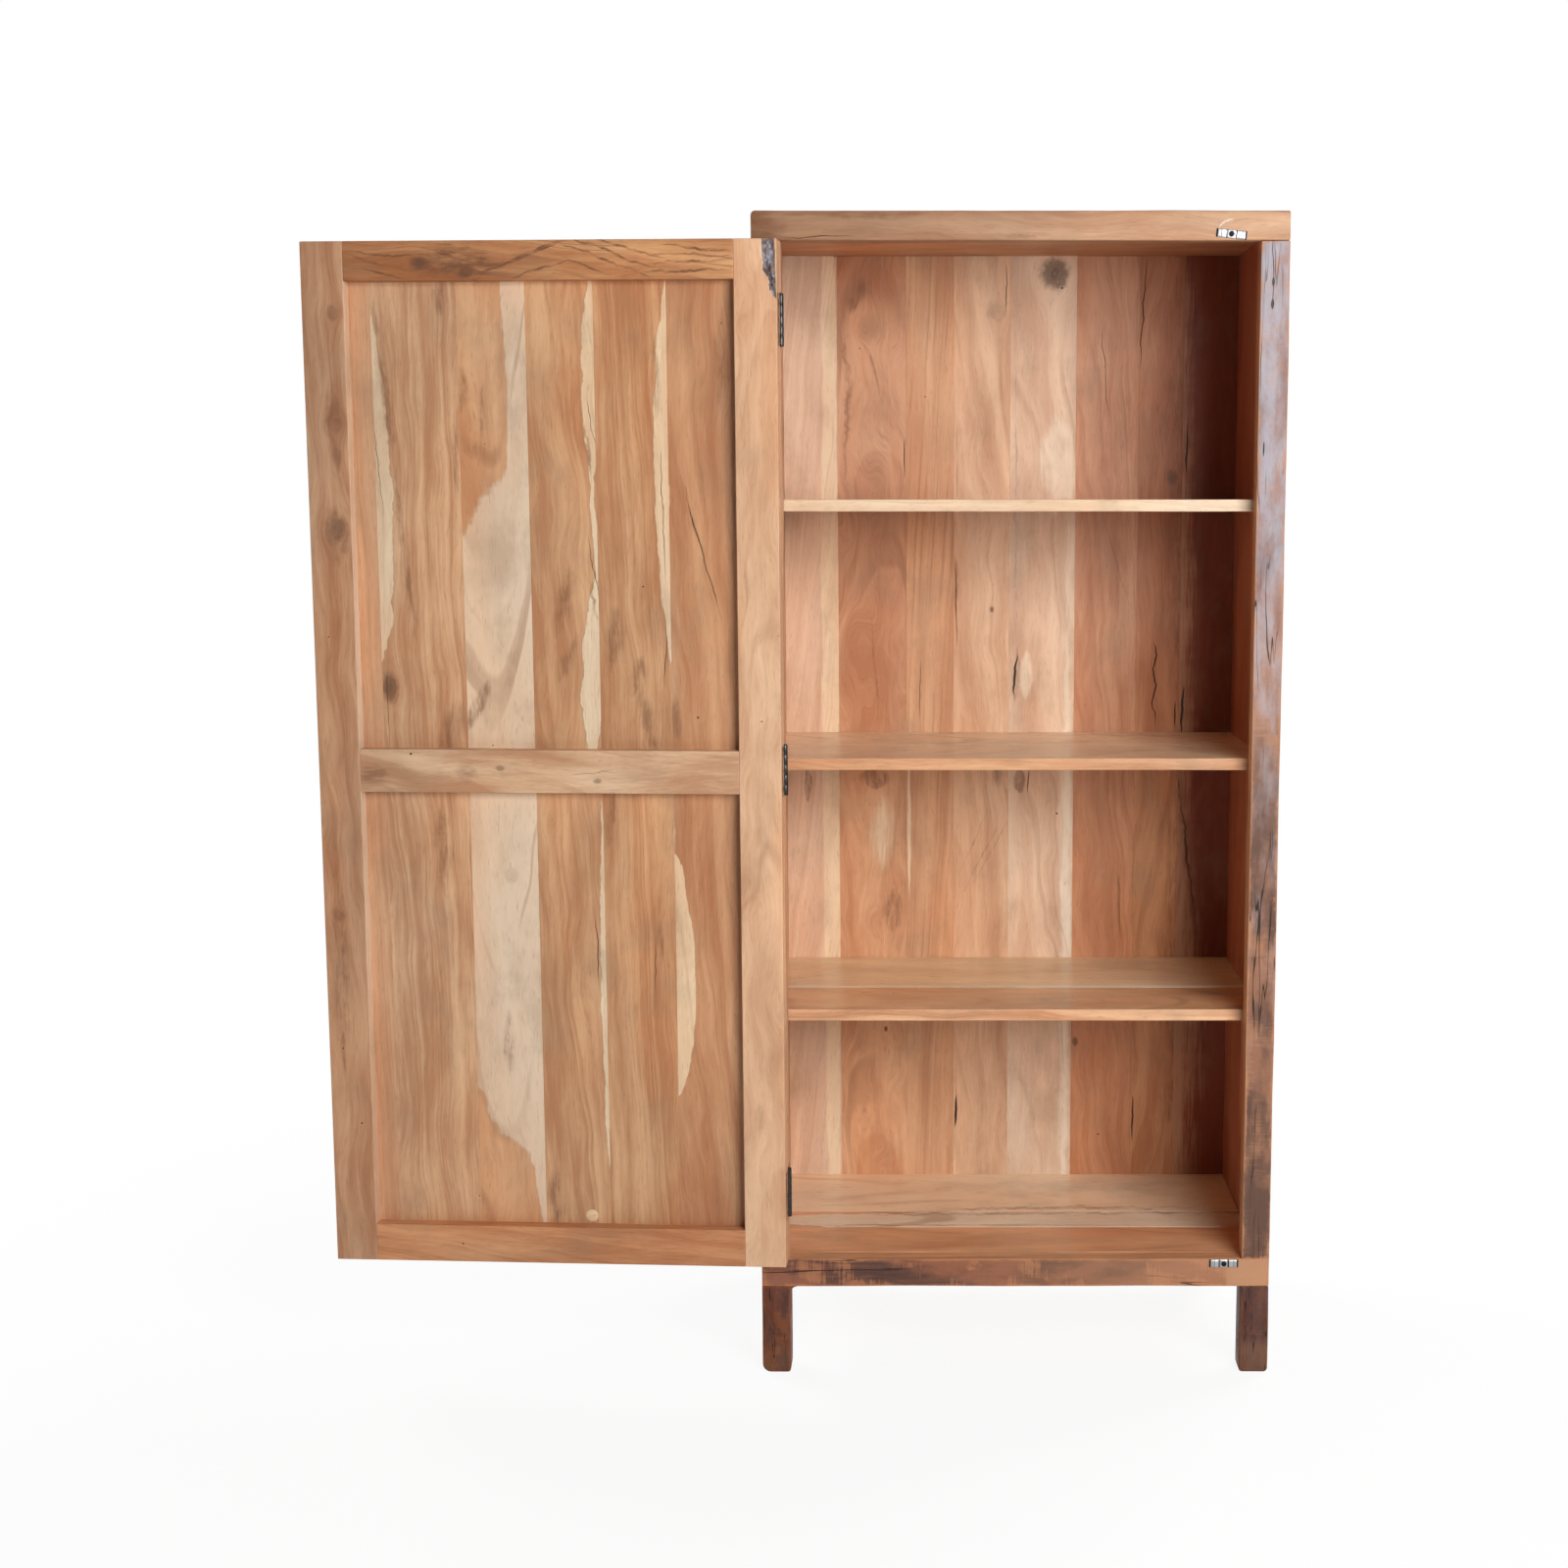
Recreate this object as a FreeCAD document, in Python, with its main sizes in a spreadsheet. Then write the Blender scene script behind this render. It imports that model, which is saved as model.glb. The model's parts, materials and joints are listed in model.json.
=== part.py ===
"""A tall single-door cupboard of old hardwood boards on four short legs.

The carcase is built about the middle of its own footprint, with its front towards -Y and the door shut.
The door's pieces are then swung open about the hinge axis, and everything is shifted so that the origin
lies on the floor under the middle of the whole object with its door open.  Sizes are in millimetres.
"""
import os
import re

import FreeCAD
import Part
import Sketcher

Vector = FreeCAD.Vector
Rotation = FreeCAD.Rotation

# Driving dimensions: name, value, what it measures
DRIVING = [
    ("CarcaseWidth", 790, "overall width of the carcase"),
    ("CarcaseDepth", 430, "overall depth, front frame to back boards"),
    ("CarcaseHeight", 1774, "floor to top"),
    ("FrameDepth", 30, "thickness of the front frame"),
    ("StileWidth", 43, "front stile, seen from the front"),
    ("TopRailHeight", 43, "front top rail"),
    ("BottomRailHeight", 44, "front bottom rail"),
    ("LegHeight", 140, "floor to the underside of the rails"),
    ("LegWidth", 44, "leg, seen from the front"),
    ("LegDepth", 40, "leg, seen from the side"),
    ("SideThickness", 16, "side boards"),
    ("TopThickness", 16, "top boards"),
    ("BackThickness", 15, "back boards"),
    ("FloorThickness", 20, "floor boards"),
    ("ShelfThickness", 18, "shelf boards"),
    ("ShelfClearance", 4, "shelf front edge behind the frame and the shut door"),
    ("HousingDepth", 5, "shelf end let into the side boards"),
    ("BaseRailWidth", 30, "side base rails under the floor boards"),
    ("RearRailDepth", 30, "rear bottom rail, front to back"),
    ("TenonThickness", 10, "frame and leg tenons"),
    ("TenonLength", 15, "frame and front leg tenons"),
    ("TenonShoulder", 6, "shoulder each side of a tenon"),
    ("RearTenonLength", 12, "rear leg tenons"),
    ("FootRound", 5, "rounding at the foot of a leg"),
    ("FootWear", 13, "worn outer corner of the left front leg"),
    ("LegCove", 12, "cove at the inner top of the left front leg"),
    ("RailWornCorner", 7, "worn top left corner of the front top rail"),
    ("LowerBay", 388, "floor to lower shelf, top to top"),
    ("SecondBay", 392, "lower shelf to middle shelf"),
    ("ThirdBay", 392, "middle shelf to upper shelf"),
    ("TopBay", 402, "upper shelf to the top boards"),
    ("SideFrontBoard", 205, "nominal width, front side board"),
    ("SideRearBoard", 195, "nominal width, rear side board"),
    ("TopFrontBoard", 215, "nominal width, front top board"),
    ("TopRearBoard", 185, "nominal width, rear top board"),
    ("FloorFrontBoard", 115, "nominal width, front floor board"),
    ("FloorMiddleBoard", 75, "nominal width, middle floor board"),
    ("FloorRearBoard", 195, "nominal width, rear floor board"),
    ("LowerShelfFront", 150, "nominal width, front board of the lower shelf"),
    ("LowerShelfRear", 231, "nominal width, rear board of the lower shelf"),
    ("MiddleShelfFront", 174, "nominal width, front board of the middle shelf"),
    ("MiddleShelfRear", 207, "nominal width, rear board of the middle shelf"),
    ("UpperShelfFront", 190, "nominal width, front board of the upper shelf"),
    ("UpperShelfRear", 191, "nominal width, rear board of the upper shelf"),
    ("BackBoard1", 90, "nominal width, back board at the left"),
    ("BackBoard2", 115, "nominal width, next back board"),
    ("BackBoard3", 80, "nominal width, next back board"),
    ("BackBoard4", 94, "nominal width, next back board"),
    ("BackBoard5", 111, "nominal width, next back board"),
    ("BackBoard6", 105, "nominal width, next back board"),
    ("BackBoard7", 74, "nominal width, next back board"),
    ("BackBoard8", 89, "nominal width, back board at the right"),
    ("DoorGap", 2, "gap round the shut door"),
    ("DoorThickness", 34, "door stiles and rails"),
    ("DoorStileWidth", 63, "door stiles"),
    ("DoorTopRail", 57, "height of the door's top rail"),
    ("DoorMidRail", 65, "height of the door's middle rail"),
    ("DoorBottomRail", 58, "height of the door's bottom rail"),
    ("MidRailDrop", 6, "middle rail below the door's middle"),
    ("PanelThickness", 10, "panel boards of the door"),
    ("PanelRecess", 21, "panel boards behind the door's inner face"),
    ("GrooveDepth", 8, "groove for the panel boards"),
    ("DoorTenonLength", 35, "tenons of the door's top and bottom rails"),
    ("DoorTenonShoulder", 10, "outer shoulder of those tenons"),
    ("MidTenonLength", 10, "stub tenons of the middle rail"),
    ("MidTenonThickness", 5, "stub tenons of the middle rail"),
    ("DoorBoard1", 103, "nominal width, panel board at the hinge stile"),
    ("DoorBoard2", 108, "nominal width, next panel board"),
    ("DoorBoard3", 101, "nominal width, next panel board"),
    ("DoorBoard4", 102, "nominal width, next panel board"),
    ("DoorBoard5", 128, "nominal width, next panel board"),
    ("DoorBoard6", 32, "nominal width, panel board at the free stile"),
    ("DoorAngle", 183, "how far the door stands open, in degrees"),
    ("PlugRadius", 10, "wooden plug in the third panel board"),
    ("PlugInset", 30, "plug centre from that board's hinge side edge"),
    ("PlugRise", 12, "plug centre above the door's bottom rail"),
    ("HingeLength", 76, "butt hinge, a three inch one"),
    ("LeafWidth", 24, "hinge leaf let into the wood"),
    ("LeafThickness", 2, "hinge leaf"),
    ("KnuckleRadius", 4, "hinge knuckle"),
    ("KnuckleClearance", 0.3, "between knuckles, and from knuckle to wood"),
    ("PinRadius", 2, "hinge pin"),
    ("PinHeadRadius", 3.2, "head of the hinge pin"),
    ("PinHeadHeight", 1.6, "head of the hinge pin"),
    ("RunningClearance", 0.05, "round pieces in their holes, on the radius"),
    ("UpperHingeInset", 113, "upper hinge centre below the door's top"),
    ("MiddleHingeDrop", 6, "middle hinge centre below the door's middle"),
    ("LowerHingeInset", 107, "lower hinge centre above the door's foot"),
    ("LeafScrewPitch", 26, "between the screws of a leaf"),
    ("LeafScrewInset", 13, "leaf screws behind the front face"),
    ("ScrewRadius", 1.75, "leaf screw shank"),
    ("ScrewHeadRadius", 3.5, "countersunk head of a leaf screw"),
    ("ScrewHeadHeight", 1.6, "countersunk head of a leaf screw"),
    ("ScrewLength", 20, "leaf screw"),
    ("ScrewTipLength", 5, "pointed end of a screw"),
    ("ButtonLength", 45, "turn button"),
    ("ButtonWidth", 12.5, "turn button"),
    ("ButtonThickness", 1.5, "turn button sheet"),
    ("ButtonPlate", 15, "middle plate of a turn button, bends included"),
    ("ButtonRaise", 1.2, "wings above the middle plate"),
    ("ButtonPlay", 0.1, "turn button clear of the rail and of its screw head"),
    ("ButtonScrewRadius", 2, "turn button screw shank"),
    ("ButtonScrewHeadRadius", 3.4, "turn button screw head"),
    ("ButtonScrewHeadHeight", 2.2, "turn button screw head"),
    ("ButtonScrewDome", 1.5, "rounding of that head"),
    ("ButtonScrewLength", 22, "turn button screw, under the head"),
    ("TopButtonInset", 87, "top turn button from the carcase's right side"),
    ("TopButtonRise", 9, "top turn button above the opening"),
    ("TopButtonTilt", 6, "top turn button as it was left, in degrees"),
    ("BottomButtonInset", 71, "bottom turn button from the carcase's right side"),
    ("BottomButtonDrop", 7, "bottom turn button below the opening"),
]

BACK_BOARDS = [f"BackBoard{number}" for number in range(1, 9)]
DOOR_BOARDS = [f"DoorBoard{number}" for number in range(1, 7)]
SIDE_BOARDS = ["SideFrontBoard", "SideRearBoard"]
TOP_BOARDS = ["TopFrontBoard", "TopRearBoard"]
FLOOR_BOARDS = ["FloorFrontBoard", "FloorMiddleBoard", "FloorRearBoard"]
SHELVES = ["Lower", "Middle", "Upper"]
BAYS = ["LowerBay", "SecondBay", "ThirdBay", "TopBay"]
HINGES = ["Upper", "Middle", "Lower"]
KNUCKLE_COUNT = 5
FRAME_KNUCKLES = (0, 2, 4)
DOOR_KNUCKLES = (1, 3)
SCREWS_PER_LEAF = (-1, 0, 1)

# Values worked out from the driving dimensions
DERIVED = [
    ("HalfWidth", "CarcaseWidth / 2"),
    ("FrontY", "-CarcaseDepth / 2"),
    ("BackY", "CarcaseDepth / 2"),
    ("FrameBackY", "FrontY + FrameDepth"),
    ("BackInnerY", "BackY - BackThickness"),
    ("RearRailY", "BackInnerY - RearRailDepth"),
    ("SideInnerX", "HalfWidth - SideThickness"),
    ("OpeningX", "HalfWidth - StileWidth"),
    ("FloorTopZ", "LegHeight + BottomRailHeight"),
    ("FloorUnderZ", "FloorTopZ - FloorThickness"),
    ("TopRailZ", "CarcaseHeight - TopRailHeight"),
    ("TopUnderZ", "CarcaseHeight - TopThickness"),
    ("FrameTenonY", "FrontY + (FrameDepth - TenonThickness) / 2"),
    ("StileTenonWidth", "StileWidth - 2 * TenonShoulder"),
    ("LegTenonWidth", "LegWidth - 2 * TenonShoulder"),
    ("RearTenonWidth", "LegWidth - SideThickness - 2 * TenonShoulder"),
    ("RearTenonY", "BackInnerY - TenonShoulder - TenonThickness"),
    ("BayShare", "(TopUnderZ - FloorTopZ) / (" + " + ".join(BAYS) + ")"),
    ("LowerShelfZ", "FloorTopZ + LowerBay * BayShare - ShelfThickness"),
    ("MiddleShelfZ", "LowerShelfZ + SecondBay * BayShare"),
    ("UpperShelfZ", "MiddleShelfZ + ThirdBay * BayShare"),
    ("ShelfFrontY", "FrontY + max(FrameDepth; DoorThickness) + ShelfClearance"),
    ("DoorLeftX", "DoorGap - OpeningX"),
    ("DoorWidth", "2 * (OpeningX - DoorGap)"),
    ("DoorFootZ", "FloorTopZ + DoorGap"),
    ("DoorTopZ", "TopRailZ - DoorGap"),
    ("DoorMiddleZ", "(DoorFootZ + DoorTopZ) / 2"),
    ("DoorInnerY", "FrontY + DoorThickness"),
    ("PanelInnerY", "DoorInnerY - PanelRecess"),
    ("PanelOuterY", "PanelInnerY - PanelThickness"),
    ("PanelLeftX", "DoorLeftX + DoorStileWidth"),
    ("PanelWidth", "DoorWidth - 2 * DoorStileWidth"),
    ("PanelFootZ", "DoorFootZ + DoorBottomRail"),
    ("PanelTopZ", "DoorTopZ - DoorTopRail"),
    ("MidRailZ", "DoorMiddleZ - MidRailDrop - DoorMidRail / 2"),
    ("MidTenonY", "PanelInnerY + (PanelRecess - MidTenonThickness) / 2"),
    ("MidTenonHeight", "DoorMidRail - 2 * DoorTenonShoulder"),
    ("TopTenonHeight", "DoorTopRail - GrooveDepth - DoorTenonShoulder"),
    ("BottomTenonHeight", "DoorBottomRail - GrooveDepth - DoorTenonShoulder"),
    ("HingeX", "DoorGap / 2 - OpeningX"),
    ("HingeY", "FrontY - KnuckleRadius - KnuckleClearance"),
    ("UpperHingeZ", "DoorTopZ - UpperHingeInset"),
    ("MiddleHingeZ", "DoorMiddleZ - MiddleHingeDrop"),
    ("LowerHingeZ", "DoorFootZ + LowerHingeInset"),
    ("KnucklePitch", f"HingeLength / {KNUCKLE_COUNT}"),
    ("KnuckleLength", "KnucklePitch - KnuckleClearance"),
    ("ScrewHole", "ScrewRadius + RunningClearance"),
    ("ScrewSink", "ScrewHeadRadius + RunningClearance"),
    ("ButtonHole", "ButtonScrewRadius + RunningClearance"),
    ("ButtonScrewHeadY", "FrontY - 2 * ButtonPlay - ButtonThickness - ButtonScrewHeadHeight"),
    ("TopButtonX", "HalfWidth - TopButtonInset"),
    ("TopButtonZ", "TopRailZ + TopButtonRise"),
    ("BottomButtonX", "HalfWidth - BottomButtonInset"),
    ("BottomButtonZ", "FloorTopZ - BottomButtonDrop"),
    ("DoorReach", "OpeningX - DoorGap - HingeX"),
    ("DoorDepth", "DoorInnerY - HingeY"),
    ("DoorEndX", "HingeX + DoorReach * cos(DoorAngle) + DoorDepth * sin(DoorAngle)"),
    ("DoorFrontY", "HingeY + DoorDepth * cos(DoorAngle)"),
    ("CarcaseX", "-(HalfWidth + DoorEndX) / 2"),
    ("CarcaseY", "-(BackY + DoorFrontY) / 2"),
    ("CarcasePlace", "placement(vector(CarcaseX; CarcaseY; 0); rotation(vector(0; 0; 1); 0))"),
    ("DoorSwing", "placement(vector(0; 0; 0); rotation(vector(0; 0; 1); -DoorAngle); vector(HingeX; HingeY; 0))"),
    ("DoorPlace", "CarcasePlace * DoorSwing"),
    ("TopButtonAt", "placement(vector(TopButtonX; FrontY; TopButtonZ); rotation(vector(0; 1; 0); TopButtonTilt))"),
    ("TopButtonPlace", "CarcasePlace * TopButtonAt"),
    ("BottomButtonAt", "placement(vector(BottomButtonX; FrontY; BottomButtonZ); rotation(vector(0; 1; 0); 0))"),
    ("BottomButtonPlace", "CarcasePlace * BottomButtonAt"),
]

# Turns that aim a round tool, which points up as it is made, along another way
AIM = {
    "+X": Rotation(Vector(0, 1, 0), 90),
    "-X": Rotation(Vector(0, 1, 0), -90),
    "+Y": Rotation(Vector(1, 0, 0), -90),
    "+Z": Rotation(),
    "-Z": Rotation(Vector(1, 0, 0), 180),
}

doc = FreeCAD.newDocument("Cupboard")
sheet = doc.addObject("Spreadsheet::Sheet", "Sizes")
pieces = []


def fill_sheet():
    """Write the driving dimensions as plain numbers, and the derived ones as formulas."""
    row = 0
    for name, value, note in DRIVING:
        row += 1
        sheet.set(f"A{row}", name)
        sheet.set(f"B{row}", str(value))
        sheet.set(f"C{row}", note)
        sheet.setAlias(f"B{row}", name)
    for name, formula in DERIVED:
        row += 1
        sheet.set(f"A{row}", name)
        sheet.set(f"B{row}", "=" + formula)
        sheet.setAlias(f"B{row}", name)
    doc.recompute()


def bind(thing, prop, formula):
    """Bind a property to a formula, whose capitalised words are names in the sheet."""
    thing.setExpression(prop, re.sub(r"\b[A-Z]\w+", r"Sizes.\g<0>", formula))


def bind_corner(thing, corner):
    for axis, formula in zip("xyz", corner):
        bind(thing, f"Placement.Base.{axis}", formula)


def piece(label, place="CarcasePlace"):
    """Start a sub-part whose own axes are the carcase's, with the door shut."""
    body = doc.addObject("PartDesign::Body", label)
    body.Label = label
    bind(body, "Placement", place)
    pieces.append(body)
    return body


def block(body, size, corner, kind="Additive"):
    """Add a block to a body, or with kind Subtractive cut one out of it."""
    feature = body.newObject(f"PartDesign::{kind}Box", f"{body.Label}_block")
    for prop, formula in zip(("Length", "Width", "Height"), size):
        bind(feature, prop, formula)
    bind_corner(feature, corner)
    return feature


def cut(body, size, corner):
    return block(body, size, corner, "Subtractive")


def rod(body, radius, length, start, aim, kind="Additive"):
    """Add a round bar to a body, or with kind Subtractive bore a hole along it."""
    feature = body.newObject(f"PartDesign::{kind}Cylinder", f"{body.Label}_rod")
    feature.Placement = FreeCAD.Placement(Vector(), AIM[aim])
    bind(feature, "Radius", radius)
    bind(feature, "Height", length)
    bind_corner(feature, start)
    return feature


def bore(body, radius, length, start, aim):
    return rod(body, radius, length, start, aim, "Subtractive")


def countersink(body, start, aim):
    feature = body.newObject("PartDesign::SubtractiveCone", f"{body.Label}_sink")
    feature.Placement = FreeCAD.Placement(Vector(), AIM[aim])
    bind(feature, "Radius1", "ScrewSink")
    bind(feature, "Radius2", "ScrewHole")
    bind(feature, "Height", "ScrewHeadHeight")
    bind_corner(feature, start)


def round_edges(body, radius, belongs):
    """Round the edges of a body whose two end points both satisfy a test."""
    doc.recompute()
    base = body.Tip
    names = []
    for number, edge in enumerate(base.Shape.Edges, 1):
        ends = [vertex.Point for vertex in edge.Vertexes]
        if all(belongs(point) for point in ends):
            names.append(f"Edge{number}")
    if not names:
        raise RuntimeError(f"{body.Label} has no such edge to round")
    fillet = body.newObject("PartDesign::Fillet", f"{body.Label}_round")
    fillet.Base = (base, names)
    bind(fillet, "Radius", radius)


def turned_pattern(name, outline):
    """Revolve an outline of (radius, length) formulas; None lies on that axis."""
    body = doc.addObject("PartDesign::Body", name)
    plane = [item for item in body.Origin.OriginFeatures if item.Role == "XZ_Plane"][0]
    sketch = body.newObject("Sketcher::SketchObject", f"{name}_outline")
    sketch.AttachmentSupport = [(plane, "")]
    sketch.MapMode = "FlatFace"
    count = len(outline)
    ring = [Vector(1 + index % 2, 1 + index, 0) for index in range(count)]
    for index in range(count):
        sketch.addGeometry(Part.LineSegment(ring[index], ring[(index + 1) % count]), False)
    for index in range(count):
        sketch.addConstraint(Sketcher.Constraint("Coincident", index, 2, (index + 1) % count, 1))
    for index, (across, along) in enumerate(outline):
        for kind, formula, axis in (("DistanceX", across, -2), ("DistanceY", along, -1)):
            if formula is None:
                sketch.addConstraint(Sketcher.Constraint("PointOnObject", index, 1, axis))
            else:
                start = ring[index].x if kind == "DistanceX" else ring[index].y
                held = sketch.addConstraint(Sketcher.Constraint(kind, -1, 1, index, 1, start))
                bind(sketch, f"Constraints[{held}]", formula)
    turned = body.newObject("PartDesign::Revolution", f"{name}_turned")
    turned.Profile = sketch
    turned.ReferenceAxis = (sketch, ["V_Axis"])
    turned.Angle = 360
    return body


def group(label, pattern, starts, aim, place="CarcasePlace"):
    """Put a copy of a pattern at each start, as one sub-part of separate solids."""
    copies = []
    for start in starts:
        copy = doc.addObject("App::Link", f"{label}_copy")
        copy.LinkedObject = pattern
        copy.Placement = FreeCAD.Placement(Vector(), AIM[aim])
        bind_corner(copy, start)
        copies.append(copy)
    compound = doc.addObject("Part::Compound", label)
    compound.Label = label
    compound.Links = copies
    bind(compound, "Placement", place)
    pieces.append(compound)


def share(names, index, whole):
    """Formula for where board number index starts when boards fill a whole width in proportion."""
    total = " + ".join(names)
    before = " + ".join(names[:index]) or "0"
    return f"({whole}) * ({before}) / ({total})"


def leaf_screw_heights(hinge):
    return [f"{hinge}HingeZ + {step} * LeafScrewPitch" for step in SCREWS_PER_LEAF]


def fit_hinges(body, face, leaf_corner, aim):
    """Let the hinge leaves into a stile and drill it for their screws."""
    for hinge in HINGES:
        corner = (leaf_corner, "FrontY", f"{hinge}HingeZ - HingeLength / 2")
        cut(body, ("LeafThickness", "LeafWidth", "HingeLength"), corner)
        for height in leaf_screw_heights(hinge):
            bore(body, "ScrewHole", "ScrewLength", (face, "FrontY + LeafScrewInset", height), aim)


def make_front_frame():
    """Two rails across the whole width, with the stiles tenoned between them."""
    tenon = ("StileTenonWidth", "TenonThickness", "TenonLength")
    stile_corner = {"left": "-HalfWidth", "right": "OpeningX"}
    leg_corner = {"left": "-HalfWidth", "right": "HalfWidth - LegWidth"}

    top_rail = piece("front_top_rail")
    block(top_rail, ("CarcaseWidth", "FrameDepth", "TopRailHeight"), ("-HalfWidth", "FrontY", "TopRailZ"))
    bottom_rail = piece("front_bottom_rail")
    rail_corner = ("-HalfWidth", "FrontY", "LegHeight")
    block(bottom_rail, ("CarcaseWidth", "FrameDepth", "BottomRailHeight"), rail_corner)

    for side, corner in stile_corner.items():
        stile = piece(f"{side}_front_stile")
        across = f"{corner} + TenonShoulder"
        upper = (across, "FrameTenonY", "TopRailZ")
        lower = (across, "FrameTenonY", "FloorTopZ - TenonLength")
        block(stile, ("StileWidth", "FrameDepth", "TopRailZ - FloorTopZ"), (corner, "FrontY", "FloorTopZ"))
        block(stile, tenon, upper)
        block(stile, tenon, lower)
        cut(top_rail, tenon, upper)
        cut(bottom_rail, tenon, lower)
        if side == "left":
            fit_hinges(stile, "-OpeningX", "-OpeningX - LeafThickness", "-X")
        leg_tenon = ("LegTenonWidth", "TenonThickness", "TenonLength")
        cut(bottom_rail, leg_tenon, (f"{leg_corner[side]} + TenonShoulder", "FrameTenonY", "LegHeight"))

    bore(top_rail, "ButtonHole", "ButtonScrewLength", ("TopButtonX", "FrontY", "TopButtonZ"), "+Y")
    bore(bottom_rail, "ButtonHole", "ButtonScrewLength", ("BottomButtonX", "FrontY", "BottomButtonZ"), "+Y")
    left, top = -sheet.HalfWidth, sheet.CarcaseHeight
    round_edges(top_rail, "RailWornCorner", lambda p: at(p.x, left) and at(p.z, top))


def at(value, wanted):
    return abs(value - wanted) < 1e-4


def make_legs():
    """Front legs tenoned into the front rail, rear legs into the rear rail."""
    size = ("LegWidth", "LegDepth", "LegHeight")
    for side, corner in {"left": "-HalfWidth", "right": "HalfWidth - LegWidth"}.items():
        front = piece(f"{side}_front_leg")
        block(front, size, (corner, "FrontY", "0"))
        tenon = ("LegTenonWidth", "TenonThickness", "TenonLength")
        block(front, tenon, (f"{corner} + TenonShoulder", "FrameTenonY", "LegHeight"))
        outer = -sheet.HalfWidth if side == "left" else sheet.HalfWidth
        inner = outer + sheet.LegWidth if side == "left" else outer - sheet.LegWidth
        outer_round = "FootWear" if side == "left" else "FootRound"
        round_edges(front, outer_round, lambda p: at(p.x, outer) and at(p.z, 0))
        round_edges(front, "FootRound", lambda p: at(p.x, inner) and at(p.z, 0))
        if side == "left":
            cove_x = "LegWidth - HalfWidth"
            block(front, ("LegCove", "LegDepth", "LegCove"), (cove_x, "FrontY", "LegHeight - LegCove"))
            cove_line = (f"{cove_x} + LegCove", "FrontY", "LegHeight - LegCove")
            bore(front, "LegCove", "LegDepth", cove_line, "+Y")

        rear = piece(f"{side}_rear_leg")
        block(rear, size, (corner, "BackY - LegDepth", "0"))
        block(rear, ("RearTenonWidth", "TenonThickness", "RearTenonLength"), rear_tenon_corner(side))
        round_edges(rear, "FootRound", lambda p: at(p.x, outer) and at(p.z, 0))
        round_edges(rear, "FootRound", lambda p: at(p.x, inner) and at(p.z, 0))


def rear_tenon_corner(side):
    across = {"left": "TenonShoulder - SideInnerX", "right": "SideInnerX - TenonShoulder - RearTenonWidth"}
    return (across[side], "RearTenonY", "LegHeight")


def make_base():
    """Rails under the floor boards, flush with the underside of the front rail."""
    height = "FloorUnderZ - LegHeight"
    rear = piece("rear_bottom_rail")
    block(rear, ("2 * SideInnerX", "RearRailDepth", height), ("-SideInnerX", "RearRailY", "LegHeight"))
    for side, corner in {"left": "-SideInnerX", "right": "SideInnerX - BaseRailWidth"}.items():
        cut(rear, ("RearTenonWidth", "TenonThickness", "RearTenonLength"), rear_tenon_corner(side))
        rail = piece(f"{side}_base_rail")
        block(rail, ("BaseRailWidth", "RearRailY - FrameBackY", height), (corner, "FrameBackY", "LegHeight"))


def make_sides():
    """Two upright boards a side, housed across for the shelf ends."""
    depth = "BackY - FrameBackY"
    for side, corner in {"left": "-HalfWidth", "right": "SideInnerX"}.items():
        housing_x = "-SideInnerX - HousingDepth" if side == "left" else "SideInnerX"
        for index, name in enumerate(SIDE_BOARDS):
            board = piece(f"{side}_side_{('front', 'rear')[index]}_board")
            start = f"FrameBackY + {share(SIDE_BOARDS, index, depth)}"
            width = f"({depth}) * {name} / ({' + '.join(SIDE_BOARDS)})"
            block(board, ("SideThickness", width, "TopUnderZ - LegHeight"), (corner, start, "LegHeight"))
            seam = f"FrameBackY + {share(SIDE_BOARDS, 1, depth)}"
            front, back = ("ShelfFrontY", seam) if index == 0 else (seam, "BackInnerY")
            for shelf in SHELVES:
                groove = ("HousingDepth", f"{back} - ({front})", "ShelfThickness")
                cut(board, groove, (housing_x, front, f"{shelf}ShelfZ"))


def make_flat_boards():
    """Top, floor and shelf boards, which run across the carcase, and the upright back boards."""
    top_depth = "BackY - FrameBackY"
    for index, name in enumerate(TOP_BOARDS):
        board = piece(f"top_{('front', 'rear')[index]}_board")
        start = f"FrameBackY + {share(TOP_BOARDS, index, top_depth)}"
        width = f"({top_depth}) * {name} / ({' + '.join(TOP_BOARDS)})"
        block(board, ("CarcaseWidth", width, "TopThickness"), ("-HalfWidth", start, "TopUnderZ"))

    floor_depth = "BackInnerY - FrameBackY"
    for index, name in enumerate(FLOOR_BOARDS):
        board = piece(f"floor_{('front', 'middle', 'rear')[index]}_board")
        start = f"FrameBackY + {share(FLOOR_BOARDS, index, floor_depth)}"
        width = f"({floor_depth}) * {name} / ({' + '.join(FLOOR_BOARDS)})"
        block(board, ("2 * SideInnerX", width, "FloorThickness"), ("-SideInnerX", start, "FloorUnderZ"))

    shelf_depth = "BackInnerY - ShelfFrontY"
    length = "2 * (SideInnerX + HousingDepth)"
    for shelf in SHELVES:
        names = [f"{shelf}ShelfFront", f"{shelf}ShelfRear"]
        for index, name in enumerate(names):
            board = piece(f"{shelf.lower()}_shelf_{('front', 'rear')[index]}_board")
            start = f"ShelfFrontY + {share(names, index, shelf_depth)}"
            width = f"({shelf_depth}) * {name} / ({' + '.join(names)})"
            corner = ("-SideInnerX - HousingDepth", start, f"{shelf}ShelfZ")
            block(board, (length, width, "ShelfThickness"), corner)

    for index, name in enumerate(BACK_BOARDS):
        board = piece(f"back_board_{index + 1}")
        start = f"{share(BACK_BOARDS, index, '2 * SideInnerX')} - SideInnerX"
        width = f"2 * SideInnerX * {name} / ({' + '.join(BACK_BOARDS)})"
        block(board, (width, "BackThickness", "TopUnderZ - LegHeight"), (start, "BackInnerY", "LegHeight"))


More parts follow.
